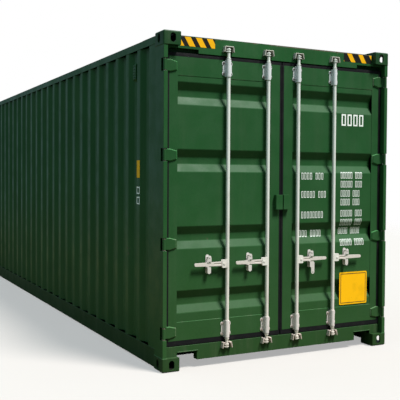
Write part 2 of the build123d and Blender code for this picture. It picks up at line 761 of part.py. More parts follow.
def cam_keeper(bar_y, top_z, half_slot):
    """An arch with two flared legs over a cam, its crown slotted where a bar comes through from above."""
    crown_z = top_z - KEEPER_EAR
    low_z = top_z - KEEPER_HEIGHT
    outside = KEEPER_INSIDE + KEEPER_EAR
    half = [
        (half_slot, top_z), (outside, top_z), (outside + KEEPER_FLARE, low_z),
        (KEEPER_INSIDE + KEEPER_FLARE, low_z), (KEEPER_INSIDE, crown_z), (half_slot, crown_z),
    ]
    x_range = (HEADER_FACE_X, HEADER_FACE_X + KEEPER_DEPTH)
    back_x = (HEADER_FACE_X, HEADER_FACE_X + KEEPER_BACK)
    keeper = block(back_x, (bar_y - KEEPER_INSIDE, bar_y + KEEPER_INSIDE), (crown_z, top_z))
    keeper += along_x([(bar_y - y, z) for y, z in half], x_range)
    return keeper + along_x([(bar_y + y, z) for y, z in half], x_range)


def build_keepers():
    """The keepers on the header and the sill that take the bars' cams."""
    header_crown = BAR_TOP + KEEPER_END_GAP + KEEPER_EAR
    sill_crown = SILL_TOP - KEEPER_DROP
    keepers = []
    for bar_y in BAR_Y.values():
        keepers.extend(both_sides(cam_keeper(bar_y, header_crown, 0)))
        keepers.extend(both_sides(cam_keeper(bar_y, sill_crown, BAR_RADIUS + KEEPER_SLOT_GAP)))
    save("cam_keepers", *keepers)


def door_frame():
    """Hollow stiles and inward-facing channel rails of the leaf on the +Y side."""
    x_range = (LEAF_INNER_X, LEAF_FACE_X)
    window_y = (LEAF_INSIDE_Y + STILE_WIDTH, LEAF_OUTSIDE_Y - STILE_WIDTH)
    window_z = (LEAF_BOTTOM + LEAF_RAIL_HEIGHT, LEAF_TOP - LEAF_RAIL_HEIGHT)
    frame = block(x_range, (LEAF_INSIDE_Y, LEAF_OUTSIDE_Y), (LEAF_BOTTOM, LEAF_TOP))
    frame -= block(x_range, window_y, window_z)
    hollow_x = (LEAF_INNER_X + LEAF_STEEL, LEAF_FACE_X - LEAF_STEEL)
    for low, high in ((LEAF_INSIDE_Y, window_y[0]), (window_y[1], LEAF_OUTSIDE_Y)):
        frame -= block(hollow_x, (low + LEAF_STEEL, high - LEAF_STEEL), (LEAF_BOTTOM, LEAF_TOP))
    for low, high in ((LEAF_BOTTOM, window_z[0]), (window_z[1], LEAF_TOP)):
        frame -= block(
            (LEAF_INNER_X, LEAF_FACE_X - LEAF_STEEL), window_y, (low + LEAF_STEEL, high - LEAF_STEEL)
        )
    return frame


def door_panel():
    """The folded sheet with four recessed bands between the stiles."""
    low = LEAF_BOTTOM + LEAF_RAIL_HEIGHT
    length = LEAF_TOP - LEAF_RAIL_HEIGHT - low
    middle = (LEAF_BOTTOM + LEAF_TOP) / 2
    centres = (
        LEAF_BOTTOM + BAND_FROM_BOTTOM, middle - BAND_FROM_MIDDLE,
        middle + BAND_FROM_MIDDLE, LEAF_TOP - BAND_FROM_TOP,
    )
    bends = [(centre - BAND_FLAT / 2 - BAND_SLOPE - low, BAND_SLOPE, BAND_FLAT) for centre in centres]
    points = [
        (PANEL_FACE_X - inward, low + along) for along, inward in bent_sheet(length, bends, BAND_DEPTH, SHEET)
    ]
    return along_y(points, (LEAF_INSIDE_Y + STILE_WIDTH, LEAF_OUTSIDE_Y - STILE_WIDTH))


def gasket_ring(x_range, inset):
    """One layer of the rubber seal round a leaf."""
    outer = block(
        x_range,
        (SEAM_HALF_GAP + inset, REVEAL_Y - GASKET_GAP - inset),
        (SILL_TOP + GASKET_GAP + inset, HEADER_BOTTOM - GASKET_GAP - inset),
    )
    return outer - block(x_range, (LEAF_INSIDE_Y, LEAF_OUTSIDE_Y), (LEAF_BOTTOM, LEAF_TOP))


def door_gasket():
    """The rubber seal round the leaf: a thin core with an outer and an inner lip."""
    back_x = JAMB_FACE_X + GASKET_GAP
    face_x = LEAF_FACE_X - GASKET_SETBACK
    inner_lip = gasket_ring((back_x, back_x + GASKET_LIP), 0)
    core = gasket_ring((back_x + GASKET_LIP, face_x - GASKET_LIP), GASKET_RECESS)
    outer_lip = gasket_ring((face_x - GASKET_LIP, face_x), 0)
    return inner_lip + core + outer_lip


def door_hinges():
    """Tapered blades on the leaf's face, each with a bored knuckle."""
    hinges = []
    arm_x = LEAF_FACE_X + BLADE_THICKNESS
    tip_y = LEAF_OUTSIDE_Y - BLADE_REACH
    taper_y = LEAF_OUTSIDE_Y - BLADE_TAPER_REACH
    near_y = PIN_Y - PIN_RADIUS
    far_y = PIN_Y + PIN_RADIUS
    half = BLADE_HEIGHT / 2
    tip = BLADE_TIP_HEIGHT / 2
    for centre_z in HINGE_CENTRES:
        z_range = (centre_z - half, centre_z + half)
        blade = along_x(
            [
                (tip_y, centre_z - tip), (taper_y, centre_z - half), (REVEAL_Y, centre_z - half),
                (REVEAL_Y, centre_z + half), (taper_y, centre_z + half), (tip_y, centre_z + tip),
            ],
            (LEAF_FACE_X, arm_x),
        )
        arm = along_z(
            [
                (LEAF_FACE_X, REVEAL_Y), (arm_x, REVEAL_Y), (PIN_X - PIN_RADIUS, near_y),
                (PIN_X - PIN_RADIUS, far_y), (arm_x, PIN_Y), (LEAF_FACE_X, near_y),
            ],
            z_range,
        )
        knuckle = rod_z(PIN_X, PIN_Y, KNUCKLE_RADIUS, z_range)
        bore = rod_z(PIN_X, PIN_Y, PIN_RADIUS + PIN_CLEARANCE, z_range)
        hinges.append(blade + arm + knuckle - bore)
    return hinges


def bar_bracket(bar_y, centre_z):
    """A sleeve round one bar, standing on a foot with rounded corners and a narrow waist."""
    inner = BAR_RADIUS + BRACKET_CLEARANCE
    outer = inner + BRACKET_STEEL
    z_range = (centre_z - SLEEVE_HEIGHT / 2, centre_z + SLEEVE_HEIGHT / 2)
    foot = RectangleRounded(FOOT_WIDTH, FOOT_HEIGHT, FOOT_ROUND)
    waist = RectangleRounded(2 * FOOT_WAIST, FOOT_HEIGHT - 4 * FOOT_ROUND, FOOT_WAIST - BRACKET_CLEARANCE)
    foot -= [Pos(side * FOOT_WIDTH / 2, 0) * waist for side in (-1, 1)]
    bracket = plate_x(Pos(bar_y, centre_z) * foot, (LEAF_FACE_X, LEAF_FACE_X + BRACKET_STEEL))
    bracket += rod_z(BAR_X, bar_y, outer, z_range)
    bracket += block((LEAF_FACE_X, BAR_X), (bar_y - outer, bar_y + outer), z_range)
    bracket -= rod_z(BAR_X, bar_y, inner, z_range)
    return bracket - block((LEAF_FACE_X, BAR_X), (bar_y - inner, bar_y + inner), z_range)


def handle_retainer(bar_y, reach, has_hasp):
    """The plate behind a handle: the catch's headed pin above, a cradle with a lobe below, on one a hasp."""
    middle_y = bar_y + reach
    plate_front = PANEL_FACE_X + RETAINER_STEEL
    pivot_z = HANDLE_Z + CATCH_PIVOT_RISE
    face = Pos(middle_y, HANDLE_Z) * Rot(0, 0, 90) * SlotOverall(RETAINER_HEIGHT, CATCH_WIDTH)
    retainer = plate_x(face, (PANEL_FACE_X, plate_front))
    head_x = CATCH_FACE_X + PIN_CLEARANCE
    retainer += rod_x(middle_y, pivot_z, CATCH_PIN_RADIUS, (plate_front, head_x))
    retainer += rod_x(middle_y, pivot_z, CATCH_PIN_RADIUS + CATCH_PIN_HEAD, (head_x, head_x + CATCH_PIN_HEAD))
    cradle_top = HANDLE_Z - HANDLE_ROOT_RADIUS - CATCH_GAP
    cradle_bottom = cradle_top - CRADLE_DEPTH
    retainer += block(
        (plate_front, HANDLE_FACE_X),
        (middle_y - CRADLE_WIDTH / 2, middle_y + CRADLE_WIDTH / 2),
        (cradle_bottom, cradle_top),
    )
    hasp_x = (HANDLE_FACE_X - HASP_STEEL, HANDLE_FACE_X)
    lobe = Rot(0, 0, 90) * SlotOverall(LOBE_LENGTH, CRADLE_WIDTH)
    retainer += plate_x(Pos(middle_y, cradle_top - LOBE_LENGTH / 2) * lobe, hasp_x)
    if has_hasp:
        hasp_y = middle_y + HASP_SHIFT
        centre_z = cradle_top - HASP_LENGTH / 2
        hasp = plate_x(Pos(hasp_y, centre_z) * Rot(0, 0, 90) * SlotOverall(HASP_LENGTH, CATCH_WIDTH), hasp_x)
        hasp -= rod_x(hasp_y, centre_z - HASP_DROP, HASP_HOLE_RADIUS, hasp_x)
        retainer += hasp
    return retainer


def lock_box_half():
    """Half of the steel box that covers a padlock at the seam."""
    front_x = LEAF_FACE_X + LOCK_BOX_DEPTH
    top_z = LOCK_BOX_BOTTOM + LOCK_BOX_HEIGHT
    box = block((LEAF_FACE_X, front_x), (SEAM_HALF_GAP, LOCK_BOX_REACH), (LOCK_BOX_BOTTOM, top_z))
    corner_edge = box.edges().filter_by(Axis.Z).sort_by_distance((front_x, LOCK_BOX_REACH, top_z))[0]
    box = fillet(corner_edge, LOCK_BOX_ROUND)
    return box - block(
        (LEAF_FACE_X, front_x - LOCK_BOX_STEEL),
        (SEAM_HALF_GAP, LOCK_BOX_REACH - LOCK_BOX_STEEL),
        (LOCK_BOX_BOTTOM, top_z - LOCK_BOX_STEEL),
    )


def build_doors():
    """Both leaves with their fixed fittings."""
    for side, direction in (("left", -1), ("right", 1)):
        def placed(shape):
            return shape if direction > 0 else mirror_y(shape)
        save(f"{side}_door_frame", placed(door_frame()))
        save(f"{side}_door_panel", placed(door_panel()))
        save(f"{side}_door_gasket", placed(door_gasket()))
        save(f"{side}_door_hinges", *[placed(hinge) for hinge in door_hinges()])
        save(f"{side}_lock_box_half", placed(lock_box_half()))
        brackets = []
        retainers = []
        for place, bar_y in BAR_Y.items():
            for centre_z in BRACKET_CENTRES:
                brackets.append(bar_bracket(direction * bar_y, centre_z))
            has_hasp = (side, place) == ("right", "inner")
            retainers.append(placed(handle_retainer(bar_y, CATCH_REACH[side], has_hasp)))
        save(f"{side}_bar_brackets", *brackets)
        save(f"{side}_handle_retainers", *retainers)


def bar_end(bar_y, end_z, sleeve_z, inward):
    """The forged end of a bar: a stub with a collar at the bracket and a forked cam near its tip."""
    collar_near = sleeve_z - inward * COLLAR_GAP
    collar_far = collar_near - inward * COLLAR_HEIGHT
    piece = rod_z(BAR_X, bar_y, STUB_RADIUS, (end_z, collar_near))
    piece += rod_z(BAR_X, bar_y, COLLAR_RADIUS, (collar_near, collar_far))
    piece += rod_z(BAR_X, bar_y, BAR_RADIUS - BAR_WALL, (collar_near, collar_near + inward * STUB_PLUG))
    centre_z = end_z + inward * CAM_FROM_END
    nose_y = bar_y + CAM_REACH - CAM_NOSE_RADIUS
    for side in (-1, 1):
        outer_z = centre_z + side * CAM_HEIGHT / 2
        cam = drop_shape((BAR_X, bar_y), CAM_HUB_RADIUS, (BAR_X, nose_y), CAM_NOSE_RADIUS)
        piece += plate_z(cam, (outer_z, outer_z - side * CAM_PLATE))
    return piece


def handle_hub(bar_y):
    """The clevis on a bar that takes the handle's root, with the head of its bolt in front."""
    front_x = HANDLE_FACE_X + HUB_FRONT
    face = Pos(bar_y + HUB_REACH / 2, HANDLE_Z) * RectangleRounded(HUB_REACH, HUB_HEIGHT, HUB_ROUND)
    hub = plate_x(face, (BAR_X - HUB_BACK, front_x))
    slot_y = (bar_y + BAR_RADIUS + HUB_SLOT_GAP, bar_y + HUB_REACH)
    hub -= block((BAR_X, HANDLE_FACE_X), slot_y, (HANDLE_Z - HUB_HEIGHT / 2, HANDLE_Z + HUB_HEIGHT / 2))
    bolt_y = slot_y[0] + HANDLE_ROOT_RADIUS
    hub += rod_x(bolt_y, HANDLE_Z, HUB_BOLT_RADIUS, (BAR_X, HANDLE_FACE_X))
    return hub + rod_x(bolt_y, HANDLE_Z, HUB_BOLT_RADIUS + HUB_SLOT_GAP, (front_x, front_x + HUB_BOLT_HEAD))


def lock_bar(bar_y):
    """A tube between two forged ends, with the hub of its handle."""
    low_sleeve = BRACKET_CENTRES[0] - SLEEVE_HEIGHT / 2
    high_sleeve = BRACKET_CENTRES[1] + SLEEVE_HEIGHT / 2
    tube_z = (low_sleeve - COLLAR_GAP, high_sleeve + COLLAR_GAP)
    bar = rod_z(BAR_X, bar_y, BAR_RADIUS, tube_z) + handle_hub(bar_y)
    bar -= rod_z(BAR_X, bar_y, BAR_RADIUS - BAR_WALL, tube_z)
    return bar + bar_end(bar_y, BAR_BOTTOM, low_sleeve, 1) + bar_end(bar_y, BAR_TOP, high_sleeve, -1)


def bar_handle(bar_y):
    """The flat handle in the hub: deep at its bored root, grooved beside it and round at its tip."""
    root_y = bar_y + BAR_RADIUS + HUB_SLOT_GAP + HANDLE_ROOT_RADIUS
    tip_y = bar_y + HANDLE_LENGTH - HANDLE_TIP_RADIUS
    face = drop_shape((root_y, HANDLE_Z), HANDLE_ROOT_RADIUS, (tip_y, HANDLE_Z), HANDLE_TIP_RADIUS)
    handle = plate_x(face, (BAR_X, HANDLE_FACE_X))
    groove_y = bar_y + HUB_REACH + HANDLE_GROOVE_GAP + HANDLE_GROOVE_LENGTH / 2
    groove = Pos(groove_y, HANDLE_Z) * SlotOverall(HANDLE_GROOVE_LENGTH, HANDLE_GROOVE_WIDTH)
    handle -= plate_x(groove, (HANDLE_FACE_X - HANDLE_GROOVE_DEPTH, HANDLE_FACE_X))
    return handle - rod_x(root_y, HANDLE_Z, HUB_BOLT_RADIUS + PIN_CLEARANCE, (BAR_X, HANDLE_FACE_X))


def handle_catch(bar_y, reach):
    """The strap that hangs on its pin above a closed handle."""
    middle_y = bar_y + reach
    pivot_z = HANDLE_Z + CATCH_PIVOT_RISE
    low = HANDLE_Z + HANDLE_ROOT_RADIUS + CATCH_GAP
    x_range = (CATCH_FACE_X - CATCH_STEEL, CATCH_FACE_X)
    eye = Pos(middle_y, pivot_z) * Circle(CATCH_TOP_RADIUS)
    foot = Pos(middle_y, low + CATCH_FOOT / 2) * Rectangle(CATCH_WIDTH, CATCH_FOOT)
    strap = plate_x(make_hull(eye.edges() + foot.edges()), x_range)
    return strap - rod_x(middle_y, pivot_z, CATCH_PIN_RADIUS + PIN_CLEARANCE, x_range)


def build_bars():
    """Lock bars, their handles and the catches, two of each on a leaf."""
    for side, direction in (("left", -1), ("right", 1)):
        for place, bar_y in BAR_Y.items():
            pieces = {
                "lock_bar": lock_bar(bar_y),
                "handle": bar_handle(bar_y),
                "catch": handle_catch(bar_y, CATCH_REACH[side]),
            }
            for name, shape in pieces.items():
                save(f"{side}_{place}_{name}", shape if direction > 0 else mirror_y(shape))


os.makedirs("parts", exist_ok=True)
build_castings()
build_door_posts()
build_header()
build_sill()
build_front_frame()
build_side_rails()
build_side_walls()
build_front_wall()
build_roof()
build_underframe()
build_floor()
build_vents()
build_hinge_lugs()
build_keepers()
build_doors()
build_bars()
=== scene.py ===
import json
from math import cos, pi, radians, sin

import bpy
from mathutils import Matrix, Vector


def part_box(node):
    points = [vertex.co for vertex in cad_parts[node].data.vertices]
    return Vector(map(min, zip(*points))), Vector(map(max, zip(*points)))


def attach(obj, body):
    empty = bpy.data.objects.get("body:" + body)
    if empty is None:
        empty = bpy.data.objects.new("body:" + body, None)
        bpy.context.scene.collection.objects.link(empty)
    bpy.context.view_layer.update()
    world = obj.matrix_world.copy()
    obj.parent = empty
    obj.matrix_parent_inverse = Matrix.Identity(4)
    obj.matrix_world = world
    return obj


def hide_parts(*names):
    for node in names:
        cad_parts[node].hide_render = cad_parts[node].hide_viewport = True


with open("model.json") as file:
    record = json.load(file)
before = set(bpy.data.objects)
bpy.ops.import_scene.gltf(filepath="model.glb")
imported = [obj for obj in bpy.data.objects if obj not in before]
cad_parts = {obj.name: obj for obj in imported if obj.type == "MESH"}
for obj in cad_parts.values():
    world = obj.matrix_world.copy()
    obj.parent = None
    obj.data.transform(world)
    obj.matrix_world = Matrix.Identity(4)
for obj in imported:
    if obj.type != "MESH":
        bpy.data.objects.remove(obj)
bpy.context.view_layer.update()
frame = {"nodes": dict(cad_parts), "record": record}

# A forty-foot high-cube shipping container. X runs to the doors, Y to the right seen from in front
# of them, Z up, all in metres. The left side wall is the one that the camera sees.

scene = bpy.context.scene
bpy.ops.object.select_all(action="DESELECT")

# Camera, with its angles in radians
CAMERA_PLACE = Vector((11.6377, -3.7210, 1.6667))
CAMERA_YAW = 0.4752
CAMERA_PITCH = -0.0237
CAMERA_ROLL = 0.006
CAMERA_LENS = 65.142
CAMERA_SHIFT_Y = -0.016
SENSOR_WIDTH = 36.0
VIEW_REACH = 200.0

# Light. The sky's strength changes over spans of the direction's Z (horizon), X (back) and Y (shade).
KEY_TOWARDS = Vector((1.0, 0.6, 2.1))
KEY_STRENGTH = 6.4
KEY_SOFTNESS = radians(16)
KEY_COLOUR = (1.0, 0.985, 0.96)
SKY_COLOUR = (0.6, 0.88, 1.0)
SKY_STRENGTH = 0.75
HORIZON_STRENGTH = 0.12
HORIZON_SPAN = (0.3, 0.85)
BACK_STRENGTH = 0.15
BACK_SPAN = (-0.9, -0.2)
SHADE_SHARE = 1.5
SHADE_SPAN = (-0.7, 0.4)

# Floor: its tone to the camera, its tone to other surfaces, and how much of its shadow shows
FLOOR_RADIUS = 40.0
FLOOR_SIDES = 64
FLOOR_ROUGHNESS = 0.9
FLOOR_SHINE = 0.1
FLOOR_TONE = (0.44, 0.405, 0.375)
FLOOR_BOUNCE = (0.1, 0.097, 0.045)
FLOOR_VEIL = 0.6
FLOOR_DROP = 0.001
FLOOR_FADE_START = 9.0
FLOOR_FADE_END = 20.0

# Hazard stripes: their lean to the right for each metre down, and for each end of the header the
# place of the first band at its top, the pitch of the bands and the yellow share of a pitch
STRIPE_TOP = 2.862
STRIPE_LEAN = 0.608
STRIPES = {"left": (-1.001, 0.107, 0.54), "right": (0.745, 0.134, 0.4)}

# Heights where the faces of the bars are cut, just clear of their hubs and forged ends
BAR_CUTS = (0.3, 0.82, 0.98, 2.63)

# Hollow of a corner casting: its spans in X and Y from the middle of the container, and in Z from
# the nearer of the ground and the top
CASTING_HOLLOW = ((5.923, 6.086), (1.062, 1.209), (0.01, 0.112))
TOP = 2.896

# Length of the floor's sheets, and the joint between them
PLYWOOD_SHEET = 2.4
PLYWOOD_JOINT = 0.004

# Edges and folds
SMOOTH_ANGLE = radians(30)
MERGE = 0.00001
FLAT_ANGLE = radians(0.5)
FINE_EDGE = 0.001
SMALL_EDGE = 0.0015
EDGE = 0.002
BLUNT_EDGE = 0.0025
CASTING_EDGE = 0.003
EDGE_SEGMENTS = 2
CORNER_SEGMENTS = 4
WALL_FOLD = 0.012
DOOR_FOLD = 0.006
ROOF_FOLD = 0.008
FOLD_SEGMENTS = 3
FOLD_SHARPNESS = radians(8)
FOLD_LENGTH = 0.5
FOLD_STRAIGHTNESS = 0.98
FACING = 0.9


# Helpers for objects

def pick(*objects):
    """Selects only these objects, the last one active."""
    bpy.ops.object.select_all(action="DESELECT")
    for thing in objects:
        thing.select_set(True)
    bpy.context.view_layer.objects.active = objects[-1]


def settle(piece):
    """Puts a piece's place, turn and size into its mesh."""
    pick(piece)
    bpy.ops.object.transform_apply(location=True, rotation=True, scale=True)


def joined(name, parts):
    """Several meshes as one piece."""
    pick(*parts)
    if len(parts) > 1:
        bpy.ops.object.join()
    piece = bpy.context.view_layer.objects.active
    piece.name = name
    settle(piece)
    return piece


def copy_of(source, place=(0, 0, 0)):
    """A copy with its own mesh, moved by place."""
    twin = source.copy()
    twin.data = source.data.copy()
    scene.collection.objects.link(twin)
    twin.location = source.location + Vector(place)
    return twin


def apply_all(piece):
    """Applies a piece's modifiers in order."""
    pick(piece)
    for name in [modifier.name for modifier in piece.modifiers]:
        bpy.ops.object.modifier_apply(modifier=name)


def ease_edges(piece, width, segments=EDGE_SEGMENTS):
    """Rounds the sharp edges of a piece by a small width."""
    bevel = piece.modifiers.new("eased edges", "BEVEL")
    bevel.limit_method = "ANGLE"
    bevel.angle_limit = SMOOTH_ANGLE
    bevel.width = width
    bevel.segments = segments
    apply_all(piece)


def smooth(piece):
    """Smooth shading up to the smooth angle, with flat faces kept flat."""
    pick(piece)
    bpy.ops.object.shade_smooth_by_angle(angle=SMOOTH_ANGLE)
    weighted = piece.modifiers.new("flat faces", "WEIGHTED_NORMAL")
    weighted.keep_sharp = True
    apply_all(piece)


def edit_edges(piece, chosen):
    """Opens a piece in edit mode with those of its sharp edges selected that pass a test."""
    pick(piece)
    bpy.ops.object.mode_set(mode="EDIT")
    bpy.ops.mesh.select_all(action="DESELECT")
    bpy.ops.mesh.select_mode(type="EDGE")
    bpy.ops.mesh.edges_select_sharp(sharpness=FOLD_SHARPNESS)
    bpy.ops.object.mode_set(mode="OBJECT")
    corners = piece.data.vertices
    for edge in piece.data.edges:
        ends = [corners[index].co for index in edge.vertices]
        edge.select = edge.select and chosen(*ends)
    for face in piece.data.polygons:
        face.select = False
    bpy.ops.object.mode_set(mode="EDIT")
    bpy.ops.mesh.select_mode(type="EDGE")


def round_folds(piece, axis, radius):
    """Rounds the long folds of a sheet that run along one axis."""
    def is_fold(start, end):
        run = end - start
        return run.length > FOLD_LENGTH and abs(run[axis]) > FOLD_STRAIGHTNESS * run.length
    edit_edges(piece, is_fold)
    bpy.ops.mesh.bevel(offset=radius, segments=FOLD_SEGMENTS, clamp_overlap=False)
    bpy.ops.object.mode_set(mode="OBJECT")


def clean_copy(node):
    """A merged copy of a node's mesh, its flat faces made whole."""
    mesh = frame["nodes"][node].data.copy()
    piece = bpy.data.objects.new(f"{node}_finish", mesh)
    scene.collection.objects.link(piece)
    pick(piece)
    bpy.ops.object.mode_set(mode="EDIT")
    bpy.ops.mesh.select_all(action="SELECT")
    bpy.ops.mesh.remove_doubles(threshold=MERGE)
    bpy.ops.mesh.dissolve_limited(angle_limit=FLAT_ANGLE)
    bpy.ops.object.mode_set(mode="OBJECT")
    return piece


def body_of(node):
    """The body that carries a node."""
    for body, nodes in frame["record"]["behaviour"]["bodies"].items():
        if node in nodes:
            return body
    raise KeyError(node)


def finish_piece(piece, finish, body):
    """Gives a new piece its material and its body."""
    piece.data.materials.clear()
    piece.data.materials.append(finish)
    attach(piece, body)


def cut_across(piece, heights):
    """Cuts long faces at some heights, so that the shading of one end doesn't reach the other."""
    pick(piece)
    bpy.ops.object.mode_set(mode="EDIT")
    for height in heights:
        bpy.ops.mesh.select_all(action="SELECT")
        bpy.ops.mesh.bisect(plane_co=(0, 0, height), plane_no=(0, 0, 1))
    bpy.ops.object.mode_set(mode="OBJECT")


def dress(node, finish, edge=EDGE, fold=None, cuts=()):
    """Replaces a node by its finished copy. A fold is (axis, radius) for a bent sheet, cuts are heights."""
    piece = clean_copy(node)
    cut_across(piece, cuts)
    if fold:
        round_folds(piece, *fold)
    else:
        ease_edges(piece, edge)
    smooth(piece)
    finish_piece(piece, finish, body_of(node))
    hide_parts(node)
    return piece


# Helpers for materials

# Sockets of the colour mix
MIX_FACTOR, MIX_FIRST, MIX_SECOND = 0, 6, 7
MIX_RESULT = 2


def add(tree, kind, sockets=None, **settings):
    """A shader node with its settings, and its sockets set or linked."""
    made = tree.nodes.new(kind)
    for key, value in settings.items():
        setattr(made, key, value)
    for key, value in (sockets or {}).items():
        if isinstance(value, bpy.types.NodeSocket):
            tree.links.new(value, made.inputs[key])
        else:
            made.inputs[key].default_value = value
    return made


def new_finish(name):
    """A material with its shader and the object coordinates that its patterns read."""
    finish = bpy.data.materials.new(name)
    finish.use_nodes = True
    tree = finish.node_tree
    shader = tree.nodes["Principled BSDF"]
    coordinates = tree.nodes.new("ShaderNodeTexCoord").outputs["Object"]
    return finish, tree, shader, coordinates


def stretched(tree, coordinates, scale):
    """Coordinates scaled by a different factor on each axis."""
    return add(tree, "ShaderNodeMapping", {"Vector": coordinates, "Scale": scale}).outputs["Vector"]


def noise(tree, coordinates, scale, detail=4.0, roughness=0.55):
    """Cloudy noise from 0 to 1."""
    sockets = {"Vector": coordinates, "Scale": scale, "Detail": detail, "Roughness": roughness}
    return add(tree, "ShaderNodeTexNoise", sockets).outputs["Fac"]


def steps(tree, factor, low, high, start=0.0, end=1.0):
    """A factor spread smoothly between two limits."""
    sockets = {"Value": factor, "From Min": low, "From Max": high, "To Min": start, "To Max": end}
    return add(tree, "ShaderNodeMapRange", sockets, interpolation_type="SMOOTHSTEP").outputs["Result"]


def compute(tree, operation, first, second=0.0):
    """One arithmetic step."""
    return add(tree, "ShaderNodeMath", {0: first, 1: second}, operation=operation).outputs[0]


def mix(tree, factor, first, second):
    """Two colours mixed by a factor."""
    made = add(tree, "ShaderNodeMix", data_type="RGBA")
    for key, value in ((MIX_FACTOR, factor), (MIX_FIRST, first), (MIX_SECOND, second)):
        if isinstance(value, bpy.types.NodeSocket):
            tree.links.new(value, made.inputs[key])
        elif key == MIX_FACTOR:
            made.inputs[key].default_value = value
        else:
            made.inputs[key].default_value = (*value, 1.0)
    return made.outputs[MIX_RESULT]


def split(tree, coordinates):
    """The X, Y and Z of a vector."""
    return add(tree, "ShaderNodeSeparateXYZ", {"Vector": coordinates}).outputs


def bump(tree, shader, height, distance):
    """Relief on the shader's normal."""
    made = add(tree, "ShaderNodeBump", {"Height": height, "Distance": distance, "Strength": 1.0})
    tree.links.new(made.outputs["Normal"], shader.inputs["Normal"])


# Materials. A pattern has its scale in waves a metre, its detail and, where it isn't the usual one,
# its roughness. A span has the two levels of a pattern between which its effect changes, and then
# the effect at each where that isn't 0 and 1. A run has the factors of X, Y and Z that stretch a
# pattern, and a reach is added to the value that it spreads. Colours are linear.

GREEN = (0.0145, 0.077, 0.0205)
FADED_GREEN = (0.019, 0.089, 0.026)
GRAIN_GREEN = (0.006, 0.03, 0.01)
DUST = (0.21, 0.19, 0.15)
RUST = (0.12, 0.035, 0.012)
BARE_STEEL = (0.16, 0.15, 0.14)
# Near black for the inside of the corner castings: bare steel, and painted shade in the hollow
SHADED_BARE_INSIDE = (0.012, 0.011, 0.009)

# Dust thrown up from the road on paint, and a pinkish tint on zinc towards the ground, with their shares at
# the ground
ROAD_DUST = (0.18, 0.08, 0.035)
ROAD_DUST_SHARE = 0.055
LOW_ZINC_TINT = (0.8, 0.6, 0.52)
LOW_ZINC_TINT_SHARE = 0.45
DUST_REACH = 1.9

# Line of rust along the header's top edge
RUST_LINE = 0.012
HEADER_EDGE = 2.867

# Patterns of the green paint
CLOUDS = (1.3, 5.0)
CLOUD_SPAN = (0.38, 0.68)
STREAK_RUN = (9.0, 9.0, 0.7)
STREAKS = (1.0, 6.0, 0.62)
STREAK_SPAN = (0.46, 0.74)
FINE_GRAIN = (55.0, 3.0)
FINE_GRAIN_SPAN = (0.42, 0.75, 0.0, 0.14)
PATCHES = (2.6, 4.0, 0.6)
WEAR_REACH = (-0.04, 0.06)
CHIPS = (26.0, 5.0, 0.7)
CHIP_SPAN = (0.58, 0.63)
SHEEN = (6.0, 5.0)
SHEEN_SPAN = (0.3, 0.7)
GLOSS_REACH = (-0.05, 0.12)
PAINT_SHINE = 0.22
RUST_RUN = (1.0, 1.0, 0.2)
RUST_GAPS = (2.4, 6.0, 0.7)
RUST_GAP_SPAN = (0.4, 0.5)
RUST_MOTTLE = (120.0, 4.0)
RUST_MOTTLE_SPAN = (0.4, 0.6)
RUST_ROUGHNESS = 0.4

# Relief of the paint in millimetres: shallow dents, orange-peel skin and the edges of chips
MILLIMETRE = 0.001
DENTS = (2.2, 2.0, 0.4)
DENT_DEPTH = 8.0
SKIN = (140.0, 2.0)
SKIN_DEPTH = 0.12
CHIP_DEPTH = 0.5


def inside_casting(tree, place):
    """1 inside the hollow of a corner casting and 0 elsewhere."""
    across = split(tree, place)
    height = compute(tree, "MINIMUM", across[2], compute(tree, "SUBTRACT", TOP, across[2]))
    along, aside = [compute(tree, "ABSOLUTE", across[axis]) for axis in range(2)]
    inside = 1.0
    for distance, (low, high) in zip((along, aside, height), CASTING_HOLLOW):
        above = compute(tree, "GREATER_THAN", distance, low)
        below = compute(tree, "LESS_THAN", distance, high)
        inside = compute(tree, "MULTIPLY", compute(tree, "MULTIPLY", above, below), inside)
    return inside


def near_ground(tree, place, amount):
    """A factor that falls from an amount at the ground to 0 at the height that road dust reaches."""
    return steps(tree, split(tree, place)[2], 0.0, DUST_REACH, amount, 0.0)


